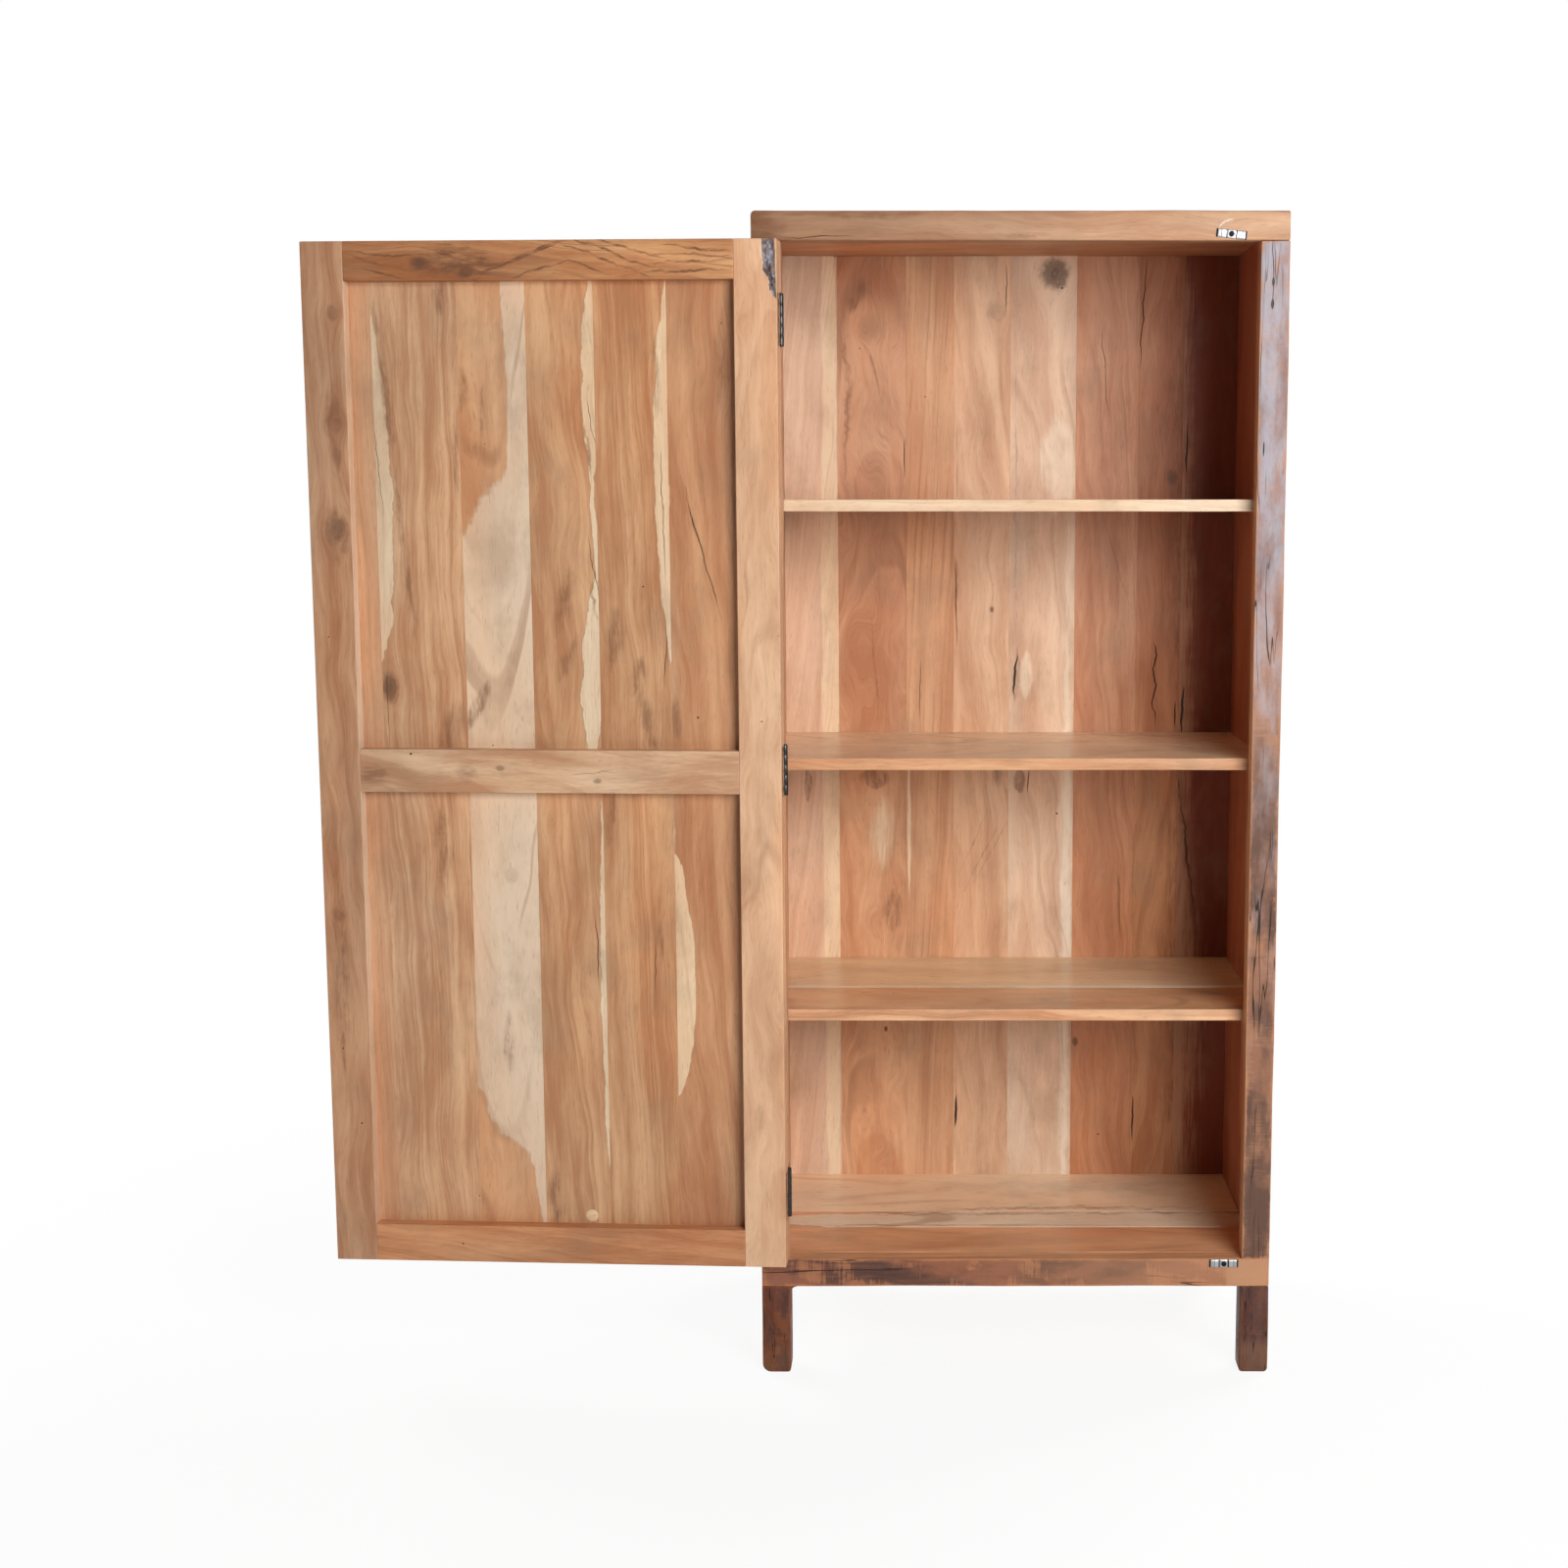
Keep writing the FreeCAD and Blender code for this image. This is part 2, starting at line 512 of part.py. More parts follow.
def make_door_frame():
    """Stiles the full height of the door, with the rails tenoned between them."""
    rail_left = "PanelLeftX"
    rail_right = "PanelLeftX + PanelWidth"
    rails = {
        "top": ("DoorTopRail", "PanelTopZ", "PanelTopZ", "TopTenonHeight", "PanelTopZ + GrooveDepth"),
        "bottom": (
            "DoorBottomRail",
            "DoorFootZ",
            "PanelFootZ - GrooveDepth",
            "BottomTenonHeight",
            "DoorFootZ + DoorTenonShoulder",
        ),
    }
    hinge_stile = piece("door_hinge_stile", "DoorPlace")
    free_stile = piece("door_free_stile", "DoorPlace")
    stile_size = ("DoorStileWidth", "DoorThickness", "DoorTopZ - DoorFootZ")
    groove = ("GrooveDepth", "PanelThickness", "PanelTopZ - PanelFootZ + 2 * GrooveDepth")
    groove_foot = "PanelFootZ - GrooveDepth"
    block(hinge_stile, stile_size, ("DoorLeftX", "FrontY", "DoorFootZ"))
    block(free_stile, stile_size, (rail_right, "FrontY", "DoorFootZ"))
    cut(hinge_stile, groove, (f"{rail_left} - GrooveDepth", "PanelOuterY", groove_foot))
    cut(free_stile, groove, (rail_right, "PanelOuterY", groove_foot))

    for name, (height, foot, groove_z, tenon_height, tenon_z) in rails.items():
        rail = piece(f"door_{name}_rail", "DoorPlace")
        block(rail, ("PanelWidth", "DoorThickness", height), (rail_left, "FrontY", foot))
        cut(rail, ("PanelWidth", "PanelThickness", "GrooveDepth"), (rail_left, "PanelOuterY", groove_z))
        tenon = ("DoorTenonLength", "PanelThickness", tenon_height)
        for stile, across in ((hinge_stile, f"{rail_left} - DoorTenonLength"), (free_stile, rail_right)):
            block(rail, tenon, (across, "PanelOuterY", tenon_z))
            cut(stile, tenon, (across, "PanelOuterY", tenon_z))

    mid_rail = piece("door_mid_rail", "DoorPlace")
    block(mid_rail, ("PanelWidth", "PanelRecess", "DoorMidRail"), (rail_left, "PanelInnerY", "MidRailZ"))
    stub = ("MidTenonLength", "MidTenonThickness", "MidTenonHeight")
    for stile, across in ((hinge_stile, f"{rail_left} - MidTenonLength"), (free_stile, rail_right)):
        corner = (across, "MidTenonY", "MidRailZ + DoorTenonShoulder")
        block(mid_rail, stub, corner)
        cut(stile, stub, corner)

    fit_hinges(hinge_stile, "DoorLeftX", "DoorLeftX", "+X")


def make_door_panel():
    """Full height boards in the grooves, the first and last let into the stiles."""
    last = len(DOOR_BOARDS) - 1
    height = "PanelTopZ - PanelFootZ + 2 * GrooveDepth"
    for index, name in enumerate(DOOR_BOARDS):
        board = piece(f"door_panel_board_{index + 1}", "DoorPlace")
        start = f"PanelLeftX + {share(DOOR_BOARDS, index, 'PanelWidth')}"
        width = f"PanelWidth * {name} / ({' + '.join(DOOR_BOARDS)})"
        corner = f"{start} - GrooveDepth" if index == 0 else start
        if index in (0, last):
            width += " + GrooveDepth"
        block(board, (width, "PanelThickness", height), (corner, "PanelOuterY", "PanelFootZ - GrooveDepth"))
        if index == 2:
            centre = (f"{start} + PlugInset", "PanelOuterY", "PanelFootZ + PlugRise")
            bore(board, "PlugRadius + RunningClearance", "PanelThickness", centre, "+Y")
            plug = piece("door_panel_plug", "DoorPlace")
            rod(plug, "PlugRadius", "PanelThickness", centre, "+Y")


def make_hinge_leaf(label, hinge, face, leaf_corner, aim, knuckles, place):
    """A plate let into a stile, with its own knuckles of the barrel and its screw holes."""
    leaf = piece(label, place)
    foot = f"{hinge}HingeZ - HingeLength / 2"
    block(leaf, ("LeafThickness", "LeafWidth", "HingeLength"), (leaf_corner, "FrontY", foot))
    for number in knuckles:
        start = f"{foot} + {number} * KnucklePitch + KnuckleClearance / 2"
        block(leaf, ("LeafThickness", "FrontY - HingeY", "KnuckleLength"), (leaf_corner, "HingeY", start))
        rod(leaf, "KnuckleRadius", "KnuckleLength", ("HingeX", "HingeY", start), "+Z")
    bore(leaf, "PinRadius + RunningClearance", "HingeLength", ("HingeX", "HingeY", foot), "+Z")
    for height in leaf_screw_heights(hinge):
        start = (face, "FrontY + LeafScrewInset", height)
        countersink(leaf, start, aim)
        bore(leaf, "ScrewHole", "LeafThickness", start, aim)


def make_hinges():
    """Three butt hinges: frame leaves, door leaves, pins and screws."""
    frame_face, frame_corner = "-OpeningX", "-OpeningX - LeafThickness"
    for hinge in HINGES:
        name = hinge.lower()
        make_hinge_leaf(
            f"{name}_frame_hinge_leaf", hinge, frame_face, frame_corner, "-X", FRAME_KNUCKLES, "CarcasePlace"
        )
        make_hinge_leaf(
            f"{name}_door_hinge_leaf", hinge, "DoorLeftX", "DoorLeftX", "+X", DOOR_KNUCKLES, "DoorPlace"
        )

    pin_foot = "PinHeadHeight + HingeLength"
    pin = turned_pattern(
        "pin_pattern",
        [
            (None, None),
            ("PinHeadRadius", None),
            ("PinHeadRadius", "PinHeadHeight"),
            ("PinRadius", "PinHeadHeight"),
            ("PinRadius", pin_foot),
            (None, pin_foot),
        ],
    )
    pin_tops = [("HingeX", "HingeY", f"{hinge}HingeZ + HingeLength / 2 + PinHeadHeight") for hinge in HINGES]
    group("hinge_pins", pin, pin_tops, "-Z")

    screw = turned_pattern(
        "leaf_screw_pattern",
        [
            (None, None),
            ("ScrewHeadRadius", None),
            ("ScrewRadius", "ScrewHeadHeight"),
            ("ScrewRadius", "ScrewLength - ScrewTipLength"),
            (None, "ScrewLength"),
        ],
    )
    heights = [height for hinge in HINGES for height in leaf_screw_heights(hinge)]
    depth = "FrontY + LeafScrewInset"
    group("frame_leaf_screws", screw, [(frame_face, depth, height) for height in heights], "-X")
    group("door_leaf_screws", screw, [("DoorLeftX", depth, height) for height in heights], "+X", "DoorPlace")


def make_turn_button(label, place):
    """A pressed steel strip whose wings stand clear of the door, about its own screw centre."""
    button = piece(label, place)
    plate_y = "-ButtonPlay - ButtonThickness"
    wing_y = f"{plate_y} - ButtonRaise"
    wing = "(ButtonLength - ButtonPlate) / 2"
    foot = "-ButtonWidth / 2"
    block(button, ("ButtonPlate", "ButtonThickness", "ButtonWidth"), ("-ButtonPlate / 2", plate_y, foot))
    for wing_x, bend_x in (
        ("-ButtonLength / 2", "-ButtonPlate / 2"),
        ("ButtonPlate / 2", "ButtonPlate / 2 - ButtonThickness"),
    ):
        bend = ("ButtonThickness", "ButtonThickness + ButtonRaise", "ButtonWidth")
        block(button, bend, (bend_x, wing_y, foot))
        block(button, (wing, "ButtonThickness", "ButtonWidth"), (wing_x, wing_y, foot))
    bore(button, "ButtonHole", "ButtonThickness", ("0", plate_y, "0"), "+Y")


def make_turn_buttons():
    make_turn_button("top_turn_button", "TopButtonPlace")
    make_turn_button("bottom_turn_button", "BottomButtonPlace")
    shank_end = "ButtonScrewHeadHeight + ButtonScrewLength"
    screw = turned_pattern(
        "button_screw_pattern",
        [
            (None, None),
            ("ButtonScrewHeadRadius", None),
            ("ButtonScrewHeadRadius", "ButtonScrewHeadHeight"),
            ("ButtonScrewRadius", "ButtonScrewHeadHeight"),
            ("ButtonScrewRadius", f"{shank_end} - ScrewTipLength"),
            (None, shank_end),
        ],
    )
    round_edges(screw, "ButtonScrewDome", lambda p: at(p.z, 0) and p.Length > 0)
    starts = [
        ("TopButtonX", "ButtonScrewHeadY", "TopButtonZ"),
        ("BottomButtonX", "ButtonScrewHeadY", "BottomButtonZ"),
    ]
    group("button_screws", screw, starts, "+Y")


def check_document():
    """Stop if any object failed, or any sub-part is empty or not valid."""
    for thing in doc.Objects:
        if any(word in state for state in thing.State for word in ("Invalid", "Error")):
            raise RuntimeError(f"{thing.Label} failed: {thing.State}")
    for thing in pieces:
        if thing.Shape.isNull() or not thing.Shape.isValid() or not thing.Shape.Solids:
            raise RuntimeError(f"{thing.Label} has no valid solid")


def write_parts():
    os.makedirs("parts", exist_ok=True)
    for thing in pieces:
        thing.Shape.exportStep(f"parts/{thing.Label}.step")


fill_sheet()
make_front_frame()
make_legs()
make_base()
make_sides()
make_flat_boards()
make_door_frame()
make_door_panel()
make_hinges()
make_turn_buttons()
doc.recompute()
check_document()
write_parts()
print(f"{len(pieces)} sub-parts, {sum(len(thing.Shape.Solids) for thing in pieces)} solids")
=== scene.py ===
"""Looks of a single-door cupboard made of old hardwood boards.

The file is laid out as an add-on and is run as a script. It loads the cupboard's frame, replaces each
wooden node by a board with its own grain, marks and worn edges, finishes the steel pieces, and sets up
a pale studio. Lengths are in metres, in the frame of the cupboard with its door open.
"""

import json
import math
from typing import NamedTuple

import bmesh
import bpy
from bpy.props import FloatProperty, FloatVectorProperty, PointerProperty
from mathutils import Matrix, Vector, noise

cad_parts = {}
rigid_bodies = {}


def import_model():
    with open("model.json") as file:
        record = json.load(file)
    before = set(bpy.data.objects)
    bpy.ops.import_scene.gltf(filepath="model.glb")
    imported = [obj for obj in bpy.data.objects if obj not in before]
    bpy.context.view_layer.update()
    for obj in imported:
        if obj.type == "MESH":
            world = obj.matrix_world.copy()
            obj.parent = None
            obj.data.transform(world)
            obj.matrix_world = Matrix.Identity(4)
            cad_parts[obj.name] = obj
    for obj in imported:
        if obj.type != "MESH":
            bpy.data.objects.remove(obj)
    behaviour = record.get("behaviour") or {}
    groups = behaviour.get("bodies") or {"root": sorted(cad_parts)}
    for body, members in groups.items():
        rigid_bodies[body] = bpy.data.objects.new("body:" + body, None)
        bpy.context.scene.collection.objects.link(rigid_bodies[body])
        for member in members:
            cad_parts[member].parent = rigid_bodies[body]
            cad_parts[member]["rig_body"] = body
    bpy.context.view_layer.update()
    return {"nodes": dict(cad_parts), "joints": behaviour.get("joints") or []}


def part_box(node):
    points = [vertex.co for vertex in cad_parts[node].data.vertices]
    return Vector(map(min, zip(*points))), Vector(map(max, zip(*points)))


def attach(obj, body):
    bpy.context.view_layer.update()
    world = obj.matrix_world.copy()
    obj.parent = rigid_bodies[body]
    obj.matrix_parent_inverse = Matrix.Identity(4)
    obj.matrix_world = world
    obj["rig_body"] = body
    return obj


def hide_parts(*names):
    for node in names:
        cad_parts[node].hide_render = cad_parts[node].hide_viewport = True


bl_info = {
    "name": "Old Hardwood Cupboard",
    "version": (1, 0, 0),
    "blender": (4, 5, 0),
    "location": "3D View > Sidebar > Cupboard",
    "description": "Dresses the cupboard's frame with worn boards, steel hinges and turn buttons",
    "category": "Object",
}

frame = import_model()

DOOR_JOINT = next(joint for joint in frame["joints"] if joint["name"] == "door_swing")
HINGE_AXIS = Vector(DOOR_JOINT["pos_m"])
SHUT_ANGLE = math.radians(DOOR_JOINT["range_deg"][1])
SHUT_DOOR = (
    Matrix.Translation(HINGE_AXIS) @ Matrix.Rotation(SHUT_ANGLE, 4, "Z") @ Matrix.Translation(-HINGE_AXIS)
)
OPEN_DOOR = SHUT_DOOR.inverted()

FRONT = Vector((0, -1, 0))
BACK = Vector((0, 1, 0))
LEFT = Vector((-1, 0, 0))
RIGHT = Vector((1, 0, 0))
UP = Vector((0, 0, 1))
DOWN = Vector((0, 0, -1))


class Streak(NamedTuple):
    """A long patch that follows the grain: its middle across and along the board, and its half sizes."""
    across: float
    along: float
    half_width: float
    half_length: float
    lean: float = 0.0
    wobble: float = 0.003
    soft: float = 0.003


class Knot(NamedTuple):
    """A knot: its middle across and along the board, its radius, how dark it is and how round it is."""
    across: float
    along: float
    radius: float
    dark: float = 0.8
    roundness: float = 0.62


class Scratch(NamedTuple):
    """A scratch on an arc: the arc's middle across and along the board, its radius and its way."""
    across: float
    along: float
    radius: float
    way: float


class Look(NamedTuple):
    """How one planed board differs from the others: its tint, its grain and its marks."""
    tint: tuple = (1.0, 1.0, 1.0)
    end_tint: tuple = ()
    fade: tuple = (0.0, 1.0)
    wander: float = 0.010
    heart: float = 0.0
    depth: float = 0.07
    pitch: float = 0.016
    taper: float = 0.03
    lean: float = 0.0
    figure: float = 1.0
    lines: float = 0.25
    roughness: float = 0.46
    sap: tuple = ()
    sap_edge: float = 0.0
    sap_tint: tuple = (1.0, 1.0, 1.0)
    specks: float = 0.15
    stains: tuple = ()
    bold: float = 1.0
    knots: tuple = ()
    cracks: tuple = ()
    scratches: tuple = ()


# Boards whose marks show, with across and along in metres of the open cupboard's own frame
LOOKS = {
    "door_panel_board_1": Look(
        tint=(0.87, 0.85, 0.83), wander=0.014, heart=-0.19, depth=0.09, figure=1.05, lines=0.15,
        sap_edge=1.2,
        sap=(Streak(-0.19, 0.635, 0.032, 0.19, 0.0, 0.002, 0.002),),
        cracks=(Streak(-0.143, 1.285, 0.0009, 0.095, -0.276, 0.003, 0.001),),
        stains=(Streak(-0.143, 1.285, 0.004, 0.13, -0.276, 0.003, 0.004),
            Streak(-0.184, 1.03, 0.012, 0.04, 0.0, 0.003, 0.012),
            Streak(-0.11, 1.56, 0.014, 0.08, 0.0, 0.004, 0.014)),
    ),
    "door_panel_board_2": Look(
        tint=(0.97, 0.98, 0.93), heart=-0.36, depth=0.1, pitch=0.014, figure=1.2, lines=0.14, sap_edge=1.6,
        sap=(Streak(-0.19, 1.4, 0.022, 0.28, 0.0, 0.002, 0.002),
            Streak(-0.192, 1.17, 0.006, 0.065, -0.03, 0.002, 0.002)),
        stains=(Streak(-0.276, 1.15, 0.024, 0.055, 0.1, 0.006, 0.022),
            Streak(-0.24, 1.094, 0.018, 0.034, 0.2, 0.005, 0.016),
            Streak(-0.226, 1.025, 0.016, 0.06, -0.25, 0.005, 0.014),
            Streak(-0.206, 1.54, 0.008, 0.11, -0.05, 0.004, 0.01),
            Streak(-0.214, 0.68, 0.009, 0.045, 0.0, 0.004, 0.01),
            Streak(-0.285, 0.88, 0.012, 0.05, 0.1, 0.004, 0.01)),
        cracks=(Streak(-0.199, 1.335, 0.0008, 0.115, -0.03, 0.004, 0.001),
            Streak(-0.199, 1.12, 0.0008, 0.065, 0.05, 0.003, 0.001),
            Streak(-0.222, 0.64, 0.0006, 0.06, 0.0, 0.003, 0.001)),
    ),
    "door_panel_board_3": Look(
        tint=(1.02, 1.05, 1.02), wander=0.018, heart=-0.41, depth=0.05, pitch=0.015, figure=1.2, lines=0.16,
        sap_edge=1.8,
        sap=(Streak(-0.303, 1.53, 0.015, 0.165, 0.0, 0.005),
            Streak(-0.301, 1.31, 0.006, 0.09, -0.04, 0.003, 0.002),
            Streak(-0.307, 1.1, 0.02, 0.15, 0.05, 0.005),
            Streak(-0.299, 0.62, 0.008, 0.3, 0.0, 0.003, 0.002)),
        stains=(Streak(-0.35, 1.205, 0.022, 0.06, 0.2, 0.006, 0.02),
            Streak(-0.309, 1.43, 0.004, 0.05, -0.12, 0.006, 0.004),
            Streak(-0.306, 1.21, 0.004, 0.045, -0.2, 0.006, 0.004),
            Streak(-0.345, 1.12, 0.016, 0.04, 0.4, 0.005, 0.014),
            Streak(-0.385, 0.28, 0.018, 0.06, 0.0, 0.006, 0.018)),
        cracks=(Streak(-0.311, 0.68, 0.0009, 0.065, -0.05, 0.004, 0.001),
            Streak(-0.303, 1.25, 0.0008, 0.06, -0.16, 0.004, 0.001),
            Streak(-0.304, 1.47, 0.0008, 0.04, -0.14, 0.004, 0.001)),
    ),
    "door_panel_board_4": Look(
        tint=(1.08, 1.1, 1.08), wander=0.018, heart=-0.452, depth=0.018, taper=-0.05, figure=0.85,
        lines=0.4, sap_edge=0.5, sap_tint=(0.97, 0.94, 0.98),
        sap=(Streak(-0.398, 1.62, 0.034, 1.0, 0.0, 0.002, 0.004),
            Streak(-0.398, 0.876, 0.2, 0.555, 0.0, 0.01, 0.012), Streak(-0.404, 0.4, 0.017, 0.23, -0.06)),
        stains=(Streak(-0.483, 1.05, 0.014, 0.04, 0.4, 0.005, 0.01),
            Streak(-0.495, 1.515, 0.012, 0.04, 0.0, 0.004, 0.01),
            Streak(-0.465, 1.48, 0.01, 0.06, 0.1, 0.008, 0.014),
            Streak(-0.45, 0.53, 0.012, 0.06, 0.0, 0.006, 0.014)),
        knots=(Knot(-0.439, 0.79, 0.014, 0.16, 0.9),),
    ),
    "door_panel_board_5": Look(
        tint=(1.07, 1.2, 1.29), wander=0.014, heart=-0.66, depth=0.08, pitch=0.014, figure=1.2, lines=0.14,
        sap_edge=1.6,
        sap=(Streak(-0.634, 1.37, 0.032, 0.285, 0.0, 0.003, 0.002),),
        stains=(Streak(-0.611, 1.53, 0.012, 0.135, -0.1, 0.003, 0.01),
            Streak(-0.589, 1.29, 0.008, 0.18, -0.09, 0.004, 0.008),
            Streak(-0.524, 1.65, 0.016, 0.03, 0.0, 0.004, 0.014),
            Streak(-0.507, 1.42, 0.006, 0.08, 0.0, 0.004, 0.008),
            Streak(-0.53, 1.01, 0.024, 0.055, 0.2, 0.006, 0.022),
            Streak(-0.545, 0.83, 0.018, 0.08, 0.0, 0.006, 0.018)),
        knots=(Knot(-0.617, 1.075, 0.016, 0.7),),
        cracks=(Streak(-0.624, 1.41, 0.0008, 0.08, -0.07, 0.003, 0.001),
            Streak(-0.621, 1.05, 0.0006, 0.09, 0.0, 0.002, 0.001)),
    ),
    "door_panel_board_6": Look(tint=(0.95, 0.95, 0.98), wander=0.006, heart=-0.75, depth=0.12, figure=0.8),
    "door_free_stile": Look(
        tint=(0.92, 0.98, 1.06), wander=0.018, heart=-0.76, depth=0.05, figure=1.2, lines=0.16, specks=0.5,
        stains=(Streak(-0.684, 1.3, 0.016, 0.05, 0.0, 0.006, 0.014),
            Streak(-0.68, 1.43, 0.012, 0.04, 0.0, 0.006, 0.012),
            Streak(-0.7, 0.64, 0.018, 0.18, 0.0, 0.006, 0.022),
            Streak(-0.682, 1.48, 0.016, 0.06, 0.0, 0.006, 0.018)),
        knots=(Knot(-0.678, 1.626, 0.011, 0.34, 0.8), Knot(-0.679, 1.465, 0.012, 0.2, 0.8),
            Knot(-0.682, 1.312, 0.017, 0.5, 0.8), Knot(-0.7, 0.73, 0.01, 0.2, 0.8)),
    ),
    "door_hinge_stile": Look(
        tint=(1.13, 1.24, 1.36), wander=0.03, heart=-0.03, depth=0.03, taper=0.04, figure=0.9, lines=0.3,
        specks=0.45,
        stains=(Streak(-0.031, 1.205, 0.005, 0.012, 0.0, 0.004, 0.006),
            Streak(-0.062, 0.42, 0.01, 0.03, 0.0, 0.004, 0.01)),
    ),
    "back_board_1": Look(
        tint=(1.09, 1.34, 1.7), wander=0.012, heart=0.16, depth=0.1, pitch=0.012, lean=0.07, figure=0.6,
        lines=0.15,
        sap=(Streak(0.026, 0.95, 0.016, 1.4, 0.0, 0.001, 0.004),),
        stains=(Streak(-0.014, 0.874, 0.008, 0.032),),
        knots=(Knot(0.033, 0.475, 0.006),),
    ),
    "back_board_2": Look(
        tint=(1.12, 1.17, 1.21), end_tint=(0.91, 0.9, 0.96), fade=(0.6, 1.3), wander=0.042, heart=0.098,
        depth=0.03, pitch=0.015, taper=0.035, figure=1.1, lines=0.45,
        sap=(Streak(0.113, 0.795, 0.03, 0.075, 0.0, 0.004, 0.034),),
        stains=(Streak(0.062, 1.52, 0.007, 0.17, 0.0, 0.008, 0.007),
            Streak(0.078, 1.695, 0.02, 0.035, 0.3, 0.006, 0.014),
            Streak(0.102, 1.567, 0.003, 0.065, -0.235, 0.002), Streak(0.102, 1.07, 0.003, 0.105, -0.07),
            Streak(0.1, 0.885, 0.03, 0.022, 0.0, 0.004, 0.012),
            Streak(0.13, 0.655, 0.02, 0.04, 0.0, 0.004, 0.014)),
        knots=(Knot(0.094, 1.64, 0.022, 0.22, 0.8), Knot(0.1, 1.41, 0.02, 0.1), Knot(0.118, 0.445, 0.004)),
        cracks=(Streak(0.152, 1.425, 0.0012, 0.035, 0.0, 0.001, 0.001),),
    ),
    "back_board_3": Look(
        tint=(0.99, 1.0, 1.02), wander=0.005, heart=0.45, depth=0.16, pitch=0.012, figure=0.8, lines=0.3,
        sap=(Streak(0.159, 0.8, 0.004, 0.13, 0.0, 0.001, 0.002),),
        cracks=(Streak(0.178, 1.035, 0.0008, 0.065, 0.03, 0.002, 0.001),),
    ),
    "back_board_4": Look(
        tint=(1.12, 1.29, 1.48), wander=0.02, heart=0.2, figure=0.9, lines=0.18,
        stains=(Streak(0.24, 1.2, 0.004, 0.06, -0.01, 0.002),
            Streak(0.312, 0.905, 0.016, 0.05, 0.0, 0.005, 0.012), Streak(0.299, 0.756, 0.002, 0.085, 0.55),
            Streak(0.282, 0.745, 0.002, 0.09, 0.5), Streak(0.268, 0.77, 0.002, 0.08, 0.45)),
        knots=(Knot(0.305, 1.667, 0.018, 0.22, 0.9), Knot(0.3, 1.173, 0.004)),
        cracks=(Streak(0.239, 1.18, 0.001, 0.08, -0.01, 0.002, 0.001),
            Streak(0.24, 0.297, 0.0022, 0.03, 0.0, 0.002, 0.001),
            Streak(0.322, 1.705, 0.001, 0.05, 0.0, 0.003, 0.001)),
    ),
    "back_board_5": Look(
        tint=(1.15, 1.52, 2.0), wander=0.024, heart=0.345, depth=0.04, pitch=0.015, figure=0.8, lines=0.2,
        sap_tint=(1.03, 1.14, 1.32),
        sap=(Streak(0.407, 1.415, 0.036, 0.095, 0.0, 0.006, 0.022),
            Streak(0.358, 1.06, 0.014, 0.046, 0.0, 0.004, 0.007),
            Streak(0.428, 0.6, 0.014, 0.7, 0.0, 0.004, 0.012)),
        knots=(Knot(0.403, 1.73, 0.029, 0.8, 0.95),),
        stains=(Streak(0.342, 1.062, 0.006, 0.05, 0.03, 0.003, 0.004),
            Streak(0.34, 1.4, 0.004, 0.3, 0.0, 0.003, 0.006),
            Streak(0.349, 0.88, 0.013, 0.024, 0.0, 0.004, 0.005)),
        cracks=(Streak(0.34, 1.062, 0.0022, 0.036, 0.05, 0.004, 0.001),
            Streak(0.363, 0.88, 0.001, 0.022, 0.1, 0.002, 0.001)),
    ),
    "back_board_6": Look(
        tint=(0.95, 0.8, 0.74), end_tint=(1.01, 0.95, 1.0), fade=(0.6, 1.3), wander=0.018, heart=0.4,
        pitch=0.014, lines=0.3,
        stains=(Streak(0.508, 1.26, 0.002, 0.11, -0.29), Streak(0.52, 0.68, 0.003, 0.095, -0.04)),
        knots=(Knot(0.447, 0.422, 0.006, 0.7),),
        cracks=(Streak(0.487, 1.57, 0.0007, 0.08, -0.08, 0.003, 0.001),),
    ),
    # Board 7: its two wide dark streaks over its right side are painted shade cast by the right stile and
    # side, and its darker upper end is partly painted shade too.
    "back_board_7": Look(
        tint=(0.97, 0.86, 0.76), end_tint=(0.84, 0.69, 0.64), fade=(0.85, 1.25), wander=0.02, heart=0.66,
        depth=0.06, figure=1.1,
        stains=(Streak(0.628, 1.4, 0.05, 0.52, 0.0, 0.006, 0.05),
            Streak(0.632, 0.56, 0.05, 0.6, 0.0, 0.006, 0.05)),
        cracks=(Streak(0.577, 1.046, 0.0016, 0.08, 0.0, 0.007, 0.001),
            Streak(0.612, 0.995, 0.0014, 0.025, 0.0, 0.002, 0.001),
            Streak(0.549, 0.285, 0.0014, 0.042, 0.0, 0.002, 0.001),
            Streak(0.55, 1.66, 0.0009, 0.1, 0.05, 0.004, 0.001)),
        knots=(Knot(0.603, 1.395, 0.01, 0.6),),
    ),
    # Board 8: its very dark tint is partly the board's own dark wood and partly painted shade of the right
    # stile and side; its paler strips on the left are painted light where that shade thins out.
    "back_board_8": Look(
        tint=(0.37, 0.165, 0.125), wander=0.016, heart=0.68, sap_tint=(0.6, 0.42, 0.36),
        sap=(Streak(0.614, 0.95, 0.036, 1.2, 0.0, 0.006, 0.034),
            Streak(0.608, 0.45, 0.07, 0.56, 0.0, 0.006, 0.05)),
        stains=(Streak(0.65, 1.3, 0.01, 0.3, 0.0, 0.006, 0.01),
            Streak(0.64, 0.75, 0.016, 0.2, -0.133, 0.004, 0.012)),
        cracks=(Streak(0.638, 0.75, 0.0034, 0.15, -0.133, 0.004, 0.005),
            Streak(0.626, 1.44, 0.0016, 0.045, 0.0, 0.002, 0.001),
            Streak(0.625, 1.0, 0.0022, 0.045, 0.0, 0.003, 0.001)),
    ),
    "door_top_rail": Look(
        tint=(0.8, 0.66, 0.52), end_tint=(0.94, 0.86, 0.72), fade=(-0.46, -0.34), wander=0.016, heart=1.6,
        depth=0.02, pitch=0.013, taper=0.01, figure=1.3, lines=1.6, bold=1.7,
        stains=(Streak(1.698, -0.49, 0.03, 0.085, 0.0, 0.008, 0.024),
            Streak(1.69, -0.43, 0.003, 0.06, 0.38, 0.004, 0.002),
